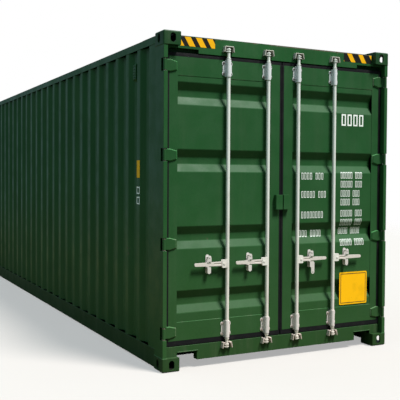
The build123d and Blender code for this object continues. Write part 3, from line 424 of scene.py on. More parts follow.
def green_paint(name, gloss=0.34, dust_amount=0.035, wear=0.7, depth=1.0, rusty_top=None, hollow=False):
    """Weathered green paint: faded in clouds, dusty in streaks, chipped to rust in a few spots.

    Wear is the level of the patches where chips start. Depth is the share of the full colour. With
    rusty_top, a thin broken line of rust follows the edge at that height. With hollow, the inside of
    the corner castings is painted near black, as bare steel and as painted shade in the hollow.
    """
    finish, tree, shader, place = new_finish(name)
    clouds = noise(tree, place, *CLOUDS)
    deep = tuple(value * depth for value in GREEN)
    faded = tuple(value * depth for value in FADED_GREEN)
    colour = mix(tree, steps(tree, clouds, *CLOUD_SPAN), deep, faded)
    streaks = noise(tree, stretched(tree, place, STREAK_RUN), *STREAKS)
    dirt = compute(tree, "MULTIPLY", steps(tree, streaks, *STREAK_SPAN), dust_amount)
    colour = mix(tree, dirt, colour, DUST)
    colour = mix(tree, near_ground(tree, place, ROAD_DUST_SHARE), colour, ROAD_DUST)
    grain = noise(tree, place, *FINE_GRAIN)
    colour = mix(tree, steps(tree, grain, *FINE_GRAIN_SPAN), colour, GRAIN_GREEN)
    worn = [wear + reach for reach in WEAR_REACH]
    patches = steps(tree, noise(tree, place, *PATCHES), *worn)
    spots = steps(tree, noise(tree, place, *CHIPS), *CHIP_SPAN)
    chip = compute(tree, "MULTIPLY", patches, spots)
    if rusty_top:
        edge = steps(tree, split(tree, place)[2], rusty_top - RUST_LINE, rusty_top)
        gaps = noise(tree, stretched(tree, place, RUST_RUN), *RUST_GAPS)
        line = compute(tree, "MULTIPLY", edge, steps(tree, gaps, *RUST_GAP_SPAN))
        chip = compute(tree, "MAXIMUM", chip, line)
    mottle = steps(tree, noise(tree, place, *RUST_MOTTLE), *RUST_MOTTLE_SPAN)
    rust_tone = mix(tree, mottle, RUST, BARE_STEEL)
    colour = mix(tree, chip, colour, rust_tone)
    # The inside of the corner castings painted near black: bare steel and painted shade
    if hollow:
        colour = mix(tree, inside_casting(tree, place), colour, SHADED_BARE_INSIDE)
    tree.links.new(colour, shader.inputs["Base Color"])
    shader.inputs["Specular IOR Level"].default_value = PAINT_SHINE
    shown = [gloss + reach for reach in GLOSS_REACH]
    rough = steps(tree, noise(tree, place, *SHEEN), *SHEEN_SPAN, *shown)
    rough = compute(tree, "ADD", rough, compute(tree, "MULTIPLY", chip, RUST_ROUGHNESS))
    tree.links.new(rough, shader.inputs["Roughness"])
    dents = compute(tree, "MULTIPLY", noise(tree, place, *DENTS), DENT_DEPTH)
    skin = compute(tree, "MULTIPLY", noise(tree, place, *SKIN), SKIN_DEPTH)
    rims = compute(tree, "MULTIPLY", chip, -CHIP_DEPTH)
    relief = compute(tree, "ADD", compute(tree, "ADD", dents, skin), rims)
    bump(tree, shader, relief, MILLIMETRE)
    return finish


# Patterns and stains of the zinc
ZINC_CRYSTALS = 160.0
CRYSTAL_SPAN = (0.1, 0.9, 0.0, 0.35)
CRYSTAL_REACH = 0.16
STAIN_RUN = (1.0, 1.0, 0.35)
ZINC_STAINS = (11.0, 6.0, 0.65)
STAIN_SPAN = (0.52, 0.8, 0.0, 0.55)
STAIN = (0.3, 0.25, 0.2)
ZINC_SPOTS = (70.0, 4.0, 0.7)
SPOT_SPAN = (0.64, 0.71, 0.0, 0.8)
SPOT = (0.2, 0.085, 0.04)
ZINC_SKIN = (220.0, 3.0)
ZINC_RELIEF = 0.0003


def zinc(name, light=(0.78, 0.79, 0.8), dark=(0.5, 0.5, 0.51), roughness=0.4, metal=0.15):
    """Dull galvanised steel: crystals of slightly different greys under a cloudy stain."""
    finish, tree, shader, place = new_finish(name)
    crystals = add(tree, "ShaderNodeTexVoronoi", {"Vector": place, "Scale": ZINC_CRYSTALS})
    tone = split(tree, crystals.outputs["Color"])[0]
    colour = mix(tree, steps(tree, tone, *CRYSTAL_SPAN), light, dark)
    # Pinker towards the ground
    colour = mix(tree, near_ground(tree, place, LOW_ZINC_TINT_SHARE), colour, LOW_ZINC_TINT)
    stains = noise(tree, stretched(tree, place, STAIN_RUN), *ZINC_STAINS)
    colour = mix(tree, steps(tree, stains, *STAIN_SPAN), colour, STAIN)
    spots = noise(tree, place, *ZINC_SPOTS)
    colour = mix(tree, steps(tree, spots, *SPOT_SPAN), colour, SPOT)
    tree.links.new(colour, shader.inputs["Base Color"])
    shader.inputs["Metallic"].default_value = metal
    rough = steps(tree, tone, 0.0, 1.0, roughness, roughness + CRYSTAL_REACH)
    tree.links.new(rough, shader.inputs["Roughness"])
    bump(tree, shader, noise(tree, place, *ZINC_SKIN), ZINC_RELIEF)
    return finish


RUBBER_BLACK = (0.006, 0.006, 0.0075)
RUBBER_DUST = (0.035, 0.032, 0.028)
RUBBER_SHINE = 0.18
RUBBER_ROUGHNESS = 0.55
RUBBER_CLOUDS = (14.0, 5.0, 0.6)
RUBBER_SPAN = (0.45, 0.8, 0.0, 0.25)
RUBBER_SKIN = (300.0, 2.0)
RUBBER_RELIEF = 0.0002


def rubber(name):
    """Matt black extruded rubber, greyed by dust along its length."""
    finish, tree, shader, place = new_finish(name)
    dusty = steps(tree, noise(tree, place, *RUBBER_CLOUDS), *RUBBER_SPAN)
    colour = mix(tree, dusty, RUBBER_BLACK, RUBBER_DUST)
    tree.links.new(colour, shader.inputs["Base Color"])
    shader.inputs["Specular IOR Level"].default_value = RUBBER_SHINE
    shader.inputs["Roughness"].default_value = RUBBER_ROUGHNESS
    bump(tree, shader, noise(tree, place, *RUBBER_SKIN), RUBBER_RELIEF)
    return finish


WAX_BLACK = (0.01, 0.01, 0.011)
WAX_DUST = (0.06, 0.05, 0.04)
WAX_CLOUDS = (5.0, 6.0)
WAX_SPAN = (0.45, 0.7, 0.0, 0.6)
WAX_SHEEN = (30.0, 4.0)
WAX_SHEEN_SPAN = (0.3, 0.7, 0.4, 0.75)
WAX_LUMPS = (60.0, 4.0)
WAX_RELIEF = 0.0012


def wax(name):
    """Black wax sprayed under the floor, thick and uneven, with road dust on it."""
    finish, tree, shader, place = new_finish(name)
    dusty = steps(tree, noise(tree, place, *WAX_CLOUDS), *WAX_SPAN)
    colour = mix(tree, dusty, WAX_BLACK, WAX_DUST)
    tree.links.new(colour, shader.inputs["Base Color"])
    rough = steps(tree, noise(tree, place, *WAX_SHEEN), *WAX_SHEEN_SPAN)
    tree.links.new(rough, shader.inputs["Roughness"])
    bump(tree, shader, noise(tree, place, *WAX_LUMPS), WAX_RELIEF)
    return finish


DARK_VENEER = (0.16, 0.072, 0.028)
LIGHT_VENEER = (0.34, 0.19, 0.09)
SCUFFED_VENEER = (0.12, 0.1, 0.08)
# Colour of the joints between the floor's sheets, darker than the wood
JOINT_DARK = (0.01, 0.008, 0.006)
GRAIN_RUN = (0.5, 14.0, 14.0)
VENEER_GRAIN = (6.0, 8.0, 0.7)
VENEER_SPAN = (0.35, 0.7)
SCUFF_RUN = (0.6, 3.0, 1.0)
SCUFFS = (4.0, 7.0, 0.7)
SCUFF_SPAN = (0.52, 0.72, 0.0, 0.6)
SCUFF_SHEEN_SPAN = (0.0, 0.6, 0.45, 0.75)
GRAIN_RELIEF = 0.0006


def plywood(name):
    """Varnished hardwood plywood with the grain along the container, scuffed by loading."""
    finish, tree, shader, place = new_finish(name)
    grain = noise(tree, stretched(tree, place, GRAIN_RUN), *VENEER_GRAIN)
    colour = mix(tree, steps(tree, grain, *VENEER_SPAN), DARK_VENEER, LIGHT_VENEER)
    scuffs = noise(tree, stretched(tree, place, SCUFF_RUN), *SCUFFS)
    scuffs = steps(tree, scuffs, *SCUFF_SPAN)
    colour = mix(tree, scuffs, colour, SCUFFED_VENEER)
    sheet = compute(tree, "FRACT", compute(tree, "DIVIDE", split(tree, place)[0], PLYWOOD_SHEET))
    joint = compute(tree, "LESS_THAN", sheet, PLYWOOD_JOINT / PLYWOOD_SHEET)
    colour = mix(tree, joint, colour, JOINT_DARK)
    tree.links.new(colour, shader.inputs["Base Color"])
    tree.links.new(steps(tree, scuffs, *SCUFF_SHEEN_SPAN), shader.inputs["Roughness"])
    bump(tree, shader, grain, GRAIN_RELIEF)
    return finish


# Films and stencilled paint
PRINT_SPECKS = (90.0, 5.0, 0.7)
SPECK_SPAN = (0.64, 0.7, 0.0, 0.7)
PRINT_SOIL = (9.0, 5.0, 0.6)
SOIL_SPAN = (0.48, 0.78, 0.0, 0.25)
PRINT_ROUGHNESS = 0.45
SOILED_SHARE = 0.45
HAZARD_YELLOW = (0.9, 0.45, 0.004)
SOILED_YELLOW = (0.45, 0.25, 0.008)
HAZARD_BLACK = (0.012, 0.011, 0.009)
HAZARD_SOIL = (12.0, 5.0, 0.6)
HAZARD_SOIL_SPAN = (0.4, 0.75, 0.0, 0.3)
HAZARD_SHINE = 0.25
HAZARD_ROUGHNESS = 0.4


def worn_print(name, ink, under=GREEN, shine=0.5):
    """A flat coat of paint or film, rubbed thin in specks so that what is under it shows."""
    finish, tree, shader, place = new_finish(name)
    specks = steps(tree, noise(tree, place, *PRINT_SPECKS), *SPECK_SPAN)
    soil = steps(tree, noise(tree, place, *PRINT_SOIL), *SOIL_SPAN)
    colour = mix(tree, soil, ink, tuple(SOILED_SHARE * value for value in ink))
    colour = mix(tree, specks, colour, under)
    tree.links.new(colour, shader.inputs["Base Color"])
    shader.inputs["Specular IOR Level"].default_value = shine
    shader.inputs["Roughness"].default_value = PRINT_ROUGHNESS
    return finish


def hazard_stripes(name, start, pitch, yellow_share):
    """Yellow and black bands that lean to the right as they go down, as on the ends of the header."""
    finish, tree, shader, place = new_finish(name)
    across = split(tree, place)
    lean = compute(tree, "MULTIPLY", compute(tree, "SUBTRACT", across[2], STRIPE_TOP), STRIPE_LEAN)
    along = compute(tree, "SUBTRACT", compute(tree, "ADD", across[1], lean), start)
    share = compute(tree, "FRACT", compute(tree, "DIVIDE", along, pitch))
    band = compute(tree, "LESS_THAN", share, yellow_share)
    soil = steps(tree, noise(tree, place, *HAZARD_SOIL), *HAZARD_SOIL_SPAN)
    yellow = mix(tree, soil, HAZARD_YELLOW, SOILED_YELLOW)
    colour = mix(tree, band, HAZARD_BLACK, yellow)
    tree.links.new(colour, shader.inputs["Base Color"])
    shader.inputs["Specular IOR Level"].default_value = HAZARD_SHINE
    shader.inputs["Roughness"].default_value = HAZARD_ROUGHNESS
    return finish


door_paint = green_paint("door paint", gloss=0.48, depth=0.93)
wall_paint = green_paint("wall paint", gloss=0.36, dust_amount=0.05)
frame_paint = green_paint("frame paint", gloss=0.36, wear=0.66)
casting_paint = green_paint("casting paint", gloss=0.4, dust_amount=0.09, wear=0.6, depth=0.66, hollow=True)
header_paint = green_paint("header paint", gloss=0.36, wear=0.66, rusty_top=HEADER_EDGE)
rail_paint = green_paint("rail paint", gloss=0.42, dust_amount=0.1, wear=0.62, depth=0.58)
sill_paint = green_paint("sill paint", gloss=0.42, dust_amount=0.12, wear=0.62, depth=0.78)
fitting_zinc = zinc("fitting zinc")
keeper_zinc = zinc("keeper zinc", (0.5, 0.48, 0.43), (0.2, 0.18, 0.15), roughness=0.5, metal=0.2)
catch_zinc = zinc("catch zinc", (0.66, 0.66, 0.64), (0.36, 0.35, 0.33), roughness=0.42)
bar_zinc = zinc("bar zinc", (0.76, 0.78, 0.73), (0.64, 0.65, 0.6), roughness=0.34, metal=0.1)
handle_zinc = zinc("handle zinc", (0.64, 0.62, 0.58), (0.42, 0.4, 0.36), roughness=0.42, metal=0.1)
seal_rubber = rubber("seal rubber")
floor_wax = wax("underframe wax")
floor_wood = plywood("floor plywood")
white_print = worn_print("white marking", (0.84, 0.86, 0.82))
# Brighter copies of the white and yellow prints for the left wall: painted light that lifts them out of the
# wall's shade
shade_lifted_wall_white = worn_print("white wall marking with painted light", (0.95, 0.96, 0.94))
shade_lifted_wall_yellow = worn_print("yellow wall marking with painted light", (1.0, 0.5, 0.004), under=(0.3, 0.1, 0.01), shine=0.1)
yellow_print = worn_print("yellow marking", (0.93, 0.47, 0.004), under=(0.35, 0.18, 0.02), shine=0.2)
black_print = worn_print("black marking", (0.02, 0.019, 0.017), under=(0.06, 0.06, 0.05))
hazard_prints = {
    side: hazard_stripes(f"{side} hazard striping", *numbers) for side, numbers in STRIPES.items()
}
# Lighter green with much dust for the weld beads: partly dust, partly a painted highlight on their ripples
seam_dust_and_highlight_paint = green_paint("seam dust and painted highlight", gloss=0.4, dust_amount=0.7, depth=1.5)
# Far lighter green, mixed mostly with dust, on the welds round the hinge blades: a painted highlight along
# the blades' rims
rim_highlight_paint = green_paint("hinge rim painted highlight", gloss=0.36, dust_amount=0.9, depth=2.6)
bolt_zinc = zinc("bolt zinc", (0.13, 0.115, 0.1), (0.05, 0.045, 0.04), roughness=0.5, metal=0.3)


# The nodes, finished

for node in ("bottom_corner_castings", "top_corner_castings"):
    dress(node, casting_paint, CASTING_EDGE)
for node in (
    "door_corner_posts", "door_jamb_channels", "front_corner_posts", "front_sill", "front_top_rail",
    "top_side_rails", "hinge_lugs",
):
    dress(node, frame_paint)
dress("bottom_side_rails", rail_paint)
dress("door_header", header_paint)
dress("door_sill", sill_paint)
dress("roof_corner_plates", frame_paint, FINE_EDGE)
dress("side_vents", wall_paint)
for node in ("left_side_wall", "right_side_wall", "front_wall"):
    dress(node, wall_paint, fold=(2, WALL_FOLD))
dress("roof", wall_paint, fold=(1, ROOF_FOLD))
dress("cross_members", floor_wax, SMALL_EDGE)
dress("gooseneck_tunnel", floor_wax, SMALL_EDGE)
dress("plywood_floor", floor_wood)
dress("cam_keepers", keeper_zinc, BLUNT_EDGE)
panels = {}
for side in ("left", "right"):
    dress(f"{side}_door_frame", door_paint, FINE_EDGE)
    panels[side] = dress(f"{side}_door_panel", door_paint, fold=(1, DOOR_FOLD))
    dress(f"{side}_door_gasket", seal_rubber, SMALL_EDGE)
    dress(f"{side}_door_hinges", door_paint, BLUNT_EDGE)
    dress(f"{side}_lock_box_half", door_paint, SMALL_EDGE)
    dress(f"{side}_bar_brackets", fitting_zinc, SMALL_EDGE)
    dress(f"{side}_handle_retainers", catch_zinc, SMALL_EDGE)
    for place in ("inner", "outer"):
        dress(f"{side}_{place}_lock_bar", bar_zinc, FINE_EDGE, cuts=BAR_CUTS)
        dress(f"{side}_{place}_handle", handle_zinc)
        dress(f"{side}_{place}_catch", catch_zinc, SMALL_EDGE)


# Pieces on the doors and the frame

# Sides of small round pieces, and the domes that make up a bead of weld
ROUND_SIDES = 16
WASHER_SIDES = 24
SCREW_SIDES = 8
HEAD_SIDES = 6
DOME_SIDES = 8
DOME_RINGS = 4
DOME_OVERLAP = 1.5
FEWEST_DOMES = 2

# An edge that rises across a plate by more than this share of its thickness is an upright one
CROSSING_SHARE = 0.5


def plate(name, low, high, finish, body, corner=0.0):
    """A thin plate between two corners, its four upright corners rounded where asked."""
    middle = [(a + b) / 2 for a, b in zip(low, high)]
    size = [b - a for a, b in zip(low, high)]
    bpy.ops.mesh.primitive_cube_add(size=1.0, location=middle, scale=size)
    piece = bpy.context.object
    piece.name = name
    settle(piece)
    thin = size.index(min(size))
    if corner:
        def crosses(start, end):
            return abs((end - start)[thin]) > CROSSING_SHARE * min(size)
        edit_edges(piece, crosses)
        bpy.ops.mesh.bevel(offset=corner, segments=CORNER_SEGMENTS, clamp_overlap=False)
        bpy.ops.object.mode_set(mode="OBJECT")
    smooth(piece)
    finish_piece(piece, finish, body)
    return piece


def bead(start, end, outward, width=0.009, rise=0.003, pitch=0.006):
    """A rippled bead of weld along a line: one low dome, repeated so that each overlaps the next."""
    start = Vector(start)
    run = Vector(end) - start
    count = max(FEWEST_DOMES, int(run.length / pitch))
    bpy.ops.mesh.primitive_uv_sphere_add(segments=DOME_SIDES, ring_count=DOME_RINGS, radius=1.0)
    dome = bpy.context.object
    bpy.ops.object.mode_set(mode="EDIT")
    bpy.ops.mesh.bisect(plane_co=(0, 0, 0), plane_no=(0, 0, 1), use_fill=True, clear_inner=True)
    bpy.ops.mesh.select_all(action="SELECT")
    size = (pitch * DOME_OVERLAP, width / 2, rise)
    bpy.ops.transform.resize(value=size, center_override=(0, 0, 0))
    bpy.ops.object.mode_set(mode="OBJECT")
    along = run.normalized()
    outward = Vector(outward)
    turn = Matrix((along, outward.cross(along), outward)).transposed().to_4x4()
    dome.matrix_world = Matrix.Translation(start) @ turn
    settle(dome)
    repeat = dome.modifiers.new("ripples", "ARRAY")
    repeat.count = count
    repeat.use_relative_offset = False
    repeat.use_constant_offset = True
    repeat.constant_offset_displace = run / count
    apply_all(dome)
    return dome


def beads(name, lines, outward, finish, body, **size):
    """Several beads of weld as one piece."""
    piece = joined(name, [bead(start, end, outward, **size) for start, end in lines])
    bpy.ops.object.shade_smooth()
    finish_piece(piece, finish, body)
    return piece


# Shares of a bolt's own size
UNDER_HEAD_HEIGHT = 0.3
UNDER_HEAD_REACH = 1.4
HEAD_EASE = 0.12


def bolt_head(radius, height):
    """A hexagon head on a round washer, standing up at the origin."""
    washer_height = height * UNDER_HEAD_HEIGHT
    reach = radius * UNDER_HEAD_REACH
    bpy.ops.mesh.primitive_cylinder_add(vertices=ROUND_SIDES, radius=reach, depth=washer_height)
    washer = bpy.context.object
    washer.location.z = washer_height / 2
    bpy.ops.mesh.primitive_cylinder_add(vertices=HEAD_SIDES, radius=radius, depth=height)
    head = bpy.context.object
    head.location.z = washer_height + height / 2
    bolt = joined("bolt", [washer, head])
    ease_edges(bolt, radius * HEAD_EASE, segments=1)
    return bolt


def spread(name, source, places, outward, finish, body):
    """Copies of one small piece at many places, turned to stand along outward, as one mesh."""
    turn = Vector(outward).to_track_quat("Z", "Y").to_matrix().to_4x4()
    copies = []
    for place in places:
        twin = copy_of(source)
        twin.matrix_world = Matrix.Translation(place) @ turn
        copies.append(twin)
    piece = joined(name, copies)
    smooth(piece)
    finish_piece(piece, finish, body)
    return piece


DOOR_SIGN = {"left": -1, "right": 1}
LEAF_FACE, LEAF_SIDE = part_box("right_door_frame")[1][:2]
panel_low, panel_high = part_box("right_door_panel")
PANEL_FACE = panel_high[0]
HEADER_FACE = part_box("door_header")[1][0]
joints = {joint["name"]: joint for joint in frame["record"]["behaviour"]["joints"]}
bar_places = {
    (side, place): joints[f"{side}_{place}_bar_turn"]["pos_m"][1]
    for side in DOOR_SIGN for place in ("inner", "outer")
}

# Bolts of the bar brackets, from the middle of a bracket
BRACKET_HEIGHTS = (0.318, 2.618)
BRACKET_FOOT = 0.005
BRACKET_BOLT_Y = 0.036
BRACKET_BOLT_Z = 0.046
BOLT_RADIUS = 0.0075
BOLT_HEIGHT = 0.006


def add_bracket_bolts():
    """Four bolts at the corners of each bracket's foot."""
    bolt = bolt_head(BOLT_RADIUS, BOLT_HEIGHT)
    for side in DOOR_SIGN:
        places = [
            (LEAF_FACE + BRACKET_FOOT, bar_places[side, place] + y, height + z)
            for place in ("inner", "outer")
            for height in BRACKET_HEIGHTS
            for y in (-BRACKET_BOLT_Y, BRACKET_BOLT_Y)
            for z in (-BRACKET_BOLT_Z, BRACKET_BOLT_Z)
        ]
        spread(
            f"{side}_bracket_bolts", bolt, places, (1, 0, 0), bolt_zinc, f"{side}_door"
        )
    bpy.data.objects.remove(bolt)


# Seams over and under the door panels
SEAM_WIDTH = 0.007


def add_door_seams():
    """Beads where the folded sheet meets the top and bottom rails of each leaf."""
    inside, outside = panel_low[1], panel_high[1]
    for side, sign in DOOR_SIGN.items():
        lines = [
            ((PANEL_FACE, sign * inside, height), (PANEL_FACE, sign * outside, height))
            for height in (panel_low[2], panel_high[2])
        ]
        beads(f"{side}_panel_seams", lines, (1, 0, 0), seam_dust_and_highlight_paint, f"{side}_door", width=SEAM_WIDTH)


# Welds round the hinge blades: the upper half of a blade's outline, from its root to its tip, with
# heights from the middle of the hinge
HINGE_HEIGHTS = (0.328, 1.088, 1.848, 2.608)
BLADE_UPPER_HALF = ((1.156, 0.048), (1.132, 0.048), (1.0735, 0.0325))
BLADE_OUTLINE = BLADE_UPPER_HALF + tuple((y, -z) for y, z in reversed(BLADE_UPPER_HALF))
HINGE_WELD = {"width": 0.012, "rise": 0.007, "pitch": 0.005}


def add_hinge_welds():
    """A bead along the outline of every blade, where it is welded to the leaf."""
    for side, sign in DOOR_SIGN.items():
        lines = []
        for height in HINGE_HEIGHTS:
            corners = [(LEAF_FACE, sign * y, height + z) for y, z in BLADE_OUTLINE]
            lines += list(zip(corners, corners[1:]))
        # These beads carry the painted highlight along each blade's rim
        beads(f"{side}_hinge_welds", lines, (1, 0, 0), rim_highlight_paint, f"{side}_door", **HINGE_WELD)


# Washers between the knuckle of each hinge and its lugs, with heights from the middle of the hinge
WASHER_RADIUS = 0.0148
WASHER_SPAN = (0.0468, 0.0497)
WASHER_EASE = 0.25


def add_hinge_washers():
    """Two flat rings round the pin of every hinge, one over and one under its knuckle."""
    thickness = WASHER_SPAN[1] - WASHER_SPAN[0]
    bpy.ops.mesh.primitive_cylinder_add(vertices=WASHER_SIDES, radius=WASHER_RADIUS, depth=thickness)
    washer = bpy.context.object
    settle(washer)
    ease_edges(washer, thickness * WASHER_EASE)
    for side in DOOR_SIGN:
        pin = joints[f"{side}_door_swing"]["pos_m"]
        places = [
            (pin[0], pin[1], height + way * sum(WASHER_SPAN) / 2)
            for height in HINGE_HEIGHTS
            for way in (-1, 1)
        ]
        spread(f"{side}_hinge_washers", washer, places, (0, 0, 1), bolt_zinc, "root")
    bpy.data.objects.remove(washer)


# Welds of the corner posts to their castings, from the side of the leaf outwards
REVEAL_GAP = 0.017


def add_post_welds():
    """Beads round the visible sides of both door posts, at each casting."""
    post_low, post_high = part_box("door_corner_posts")
    face_x, side_y = post_high[0], post_high[1]
    reveal = LEAF_SIDE + REVEAL_GAP
    heights = (post_low[2], post_high[2])
    for side, sign in DOOR_SIGN.items():
        front = [((face_x, sign * reveal, z), (face_x, sign * side_y, z)) for z in heights]
        beads(f"{side}_post_front_welds", front, (1, 0, 0), seam_dust_and_highlight_paint, "root")
        flank = [((post_low[0], sign * side_y, z), (face_x, sign * side_y, z)) for z in heights]
        beads(f"{side}_post_side_welds", flank, (0, sign, 0), seam_dust_and_highlight_paint, "root")


# Rubber lips that show from outside
SEAL_SPAN = (0.002, 0.021)
SEAL_DEPTH = (6.031, 6.0415)
SEAL_ENDS = (0.252, 2.689)
SEAL_ROUNDING = 0.0035
SEAL_SEGMENTS = 3
EDGE_LIP_SPAN = (1.141, 1.159)
EDGE_LIP_RISE = 0.0025


def add_seals():
    """The bulb between the leaves and the flat lip along the hinge side of each."""
    bottom, top = SEAL_ENDS
    for side, sign in DOOR_SIGN.items():
        body = f"{side}_door"
        y = sorted(sign * value for value in SEAL_SPAN)
        low = (SEAL_DEPTH[0], y[0], bottom)
        high = (SEAL_DEPTH[1], y[1], top)
        bulb = plate(f"{side}_centre_seal", low, high, seal_rubber, body)
        ease_edges(bulb, SEAL_ROUNDING, SEAL_SEGMENTS)
        smooth(bulb)
        y = sorted(sign * value for value in EDGE_LIP_SPAN)
        low = (LEAF_FACE, y[0], bottom)
        high = (LEAF_FACE + EDGE_LIP_RISE, y[1], top)
        lip = plate(f"{side}_edge_seal", low, high, seal_rubber, body)
        ease_edges(lip, FINE_EDGE)
        smooth(lip)


# Bulbs along the top and bottom of each leaf: height and radius
BULBS = {"top": (2.7085, 0.009), "bottom": (0.2265, 0.0105)}
BULB_FACE = 6.0405
BULB_SPAN = (0.024, 1.158)


def add_bulbs():
    """The rounded rubber that fills the gaps over and under each leaf."""
    for side, sign in DOOR_SIGN.items():
        tubes = []
        for height, radius in BULBS.values():
            bpy.ops.mesh.primitive_cylinder_add(
                vertices=ROUND_SIDES, radius=radius, depth=BULB_SPAN[1] - BULB_SPAN[0],
                location=(BULB_FACE - radius, sign * sum(BULB_SPAN) / 2, height), rotation=(pi / 2, 0, 0),
            )
            tubes.append(bpy.context.object)
        piece = joined(f"{side}_gasket_bulbs", tubes)
        ease_edges(piece, BLUNT_EDGE)
        smooth(piece)
        finish_piece(piece, seal_rubber, f"{side}_door")


# Rivets that the catches hang from
RIVET_RADIUS = 0.0065
RIVET_RISE = 0.002
RIVET_DOME = 0.8


def add_catch_rivets():
    """A dark domed rivet at the pivot of every catch."""
    bpy.ops.mesh.primitive_cylinder_add(vertices=ROUND_SIDES, radius=RIVET_RADIUS, depth=RIVET_RISE * 2)
    rivet = bpy.context.object
    settle(rivet)
    ease_edges(rivet, RIVET_RISE * RIVET_DOME)
    for side in DOOR_SIGN:
        for place in ("inner", "outer"):
            body = f"{side}_{place}_catch"
            pivot = joints[f"{body}_swing"]["pos_m"]
            places = [(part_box(body)[1][0], pivot[1], pivot[2])]
            spread(f"{body}_rivet", rivet, places, (1, 0, 0), bolt_zinc, body)
    bpy.data.objects.remove(rivet)


# Overlapped joints of the roof sheets, on the flats between the ribs
ROOF_FLAT = 2.869
ROOF_JOINT_SPAN = 1.1
ROOF_JOINT_SIZE = (0.012, 0.0018)
RIB_PITCH = 0.209
RIBS_A_SHEET = 5
ROOF_JOINTS = range(-5, 6)
RIDGE_EDGE = 0.0007


def add_roof_joints():
    """Low ridges across the roof, one between each sheet and the next."""
    half, rise = ROOF_JOINT_SIZE[0] / 2, ROOF_JOINT_SIZE[1]
    ridges = []
    for number in ROOF_JOINTS:
        centre = RIB_PITCH * (RIBS_A_SHEET * number + 0.5)
        low = (centre - half, -ROOF_JOINT_SPAN, ROOF_FLAT)
        high = (centre + half, ROOF_JOINT_SPAN, ROOF_FLAT + rise)
        ridges.append(plate("ridge", low, high, wall_paint, "root"))
    piece = joined("roof_sheet_joints", ridges)
    ease_edges(piece, RIDGE_EDGE, segments=1)
    smooth(piece)
    finish_piece(piece, wall_paint, "root")


# Screws of the floor
SCREW_PITCH_X = 0.3
SCREW_ROWS = 38
SCREW_PITCH_Y = 0.285
SCREW_COLUMNS = 8
SCREW_RADIUS = 0.0055
SCREW_RISE = 0.0006


def add_floor_screws():
    """Flat screw heads in rows over the cross members."""
    floor_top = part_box("plywood_floor")[1][2]
    bpy.ops.mesh.primitive_cylinder_add(vertices=SCREW_SIDES, radius=SCREW_RADIUS, depth=SCREW_RISE * 2)
    screw = bpy.context.object
    settle(screw)
    first_x = -SCREW_PITCH_X * (SCREW_ROWS - 1) / 2
    first_y = -SCREW_PITCH_Y * (SCREW_COLUMNS - 1) / 2
    places = [
        (first_x + SCREW_PITCH_X * row, first_y + SCREW_PITCH_Y * column, floor_top)
        for row in range(SCREW_ROWS) for column in range(SCREW_COLUMNS)
    ]
    spread("floor_screws", screw, places, (0, 0, 1), bolt_zinc, "root")
    bpy.data.objects.remove(screw)


# Striped film on the header's ends
STRIPE_INSIDE = 0.705
STRIPE_OUTSIDE = 1.043
STRIPE_BOTTOM = 2.783
FILM = 0.0006


def add_hazard_strips():
    """A striped film on each end of the header."""
    for side, sign in DOOR_SIGN.items():
        ends = sorted((sign * STRIPE_INSIDE, sign * STRIPE_OUTSIDE))
        low = (HEADER_FACE, ends[0], STRIPE_BOTTOM)
        high = (HEADER_FACE + FILM, ends[1], STRIPE_TOP)
        plate(f"{side}_hazard_strip", low, high, hazard_prints[side], "root")


# White boxes and the yellow plate on the right leaf, all plain. Each row of boxes has its top and the
# number of boxes in each of its groups.
BOX_WIDTH = 0.021
BOX_LINE = 0.0045
BOX_HEIGHT = 0.062
OUTER_PITCH = 0.0295
INNER_PITCH = 0.0325
OUTER_START = 0.690
OUTER_TOPS = (1.717, 1.631, 1.541, 1.458, 1.349, 1.262, 1.178, 1.067)
OUTER_GROUPS = ((5, 3), (5, 3), (4, 3), (4, 3), (5, 3), (5, 3), (4, 4), (5, 4))
INNER_START = 0.230
INNER_TOPS = (1.707, 1.534, 1.341, 1.163)
INNER_GROUPS = ((4, 3), (5, 3), (8,), (3, 4))
LARGE_START = 0.692
LARGE_TOP = 2.277
LARGE_COUNT = 4
LARGE_WIDTH = 0.052
LARGE_LINE = 0.014
LARGE_PITCH = 0.071
LARGE_HEIGHT = 0.112
MARK_REACH = 0.05
MARK_CUTS = 5
SIGN_LOW = (0.682, 0.428)
SIGN_HIGH = (1.018, 0.744)
SIGN_THICKNESS = 0.0015
SIGN_CORNER = 0.012
SIGN_BORDER = 0.014
SIGN_LINE = 0.006


def empty_box(width, height, line):
    """A flat rectangular ring that faces the doors' side, cut across so that it can follow folds."""
    bpy.ops.mesh.primitive_plane_add(size=1.0)
    box = bpy.context.object
    box.scale = (width, height, 1.0)
    settle(box)
    bpy.ops.object.mode_set(mode="EDIT")
    bpy.ops.mesh.select_mode(type="FACE")
    bpy.ops.mesh.select_all(action="SELECT")
    bpy.ops.mesh.inset(thickness=line, depth=0)
    bpy.ops.mesh.delete(type="FACE")
    for cut in range(1, MARK_CUTS + 1):
        level = height * (cut / (MARK_CUTS + 1) - 0.5)
        bpy.ops.mesh.select_all(action="SELECT")
        bpy.ops.mesh.bisect(plane_co=(0, level, 0), plane_no=(0, 1, 0))
    bpy.ops.object.mode_set(mode="OBJECT")
    box.rotation_euler = (pi / 2, 0, pi / 2)
    settle(box)
    return box


def box_row(source, start, pitch, top, groups):
    """Copies of one box side by side, with a gap of one box after each group."""
    boxes = []
    column = 0
    for count in groups:
        for _ in range(count):
            y = start + BOX_WIDTH / 2 + column * pitch
            boxes.append(copy_of(source, (LEAF_FACE + MARK_REACH, y, top - BOX_HEIGHT / 2)))
            column += 1
        column += 1
    return boxes


def lay_on(piece, target):
    """Presses a flat mesh in front of the doors back onto a panel, as a thin coat."""
    press = piece.modifiers.new("pressed on", "SHRINKWRAP")
    press.target = target
    press.wrap_method = "PROJECT"
    press.use_project_x = True
    press.use_negative_direction = True
    press.use_positive_direction = False
    press.offset = FILM
    coat = piece.modifiers.new("coat", "SOLIDIFY")
    coat.thickness = FILM / 2
    coat.offset = -1.0
    apply_all(piece)


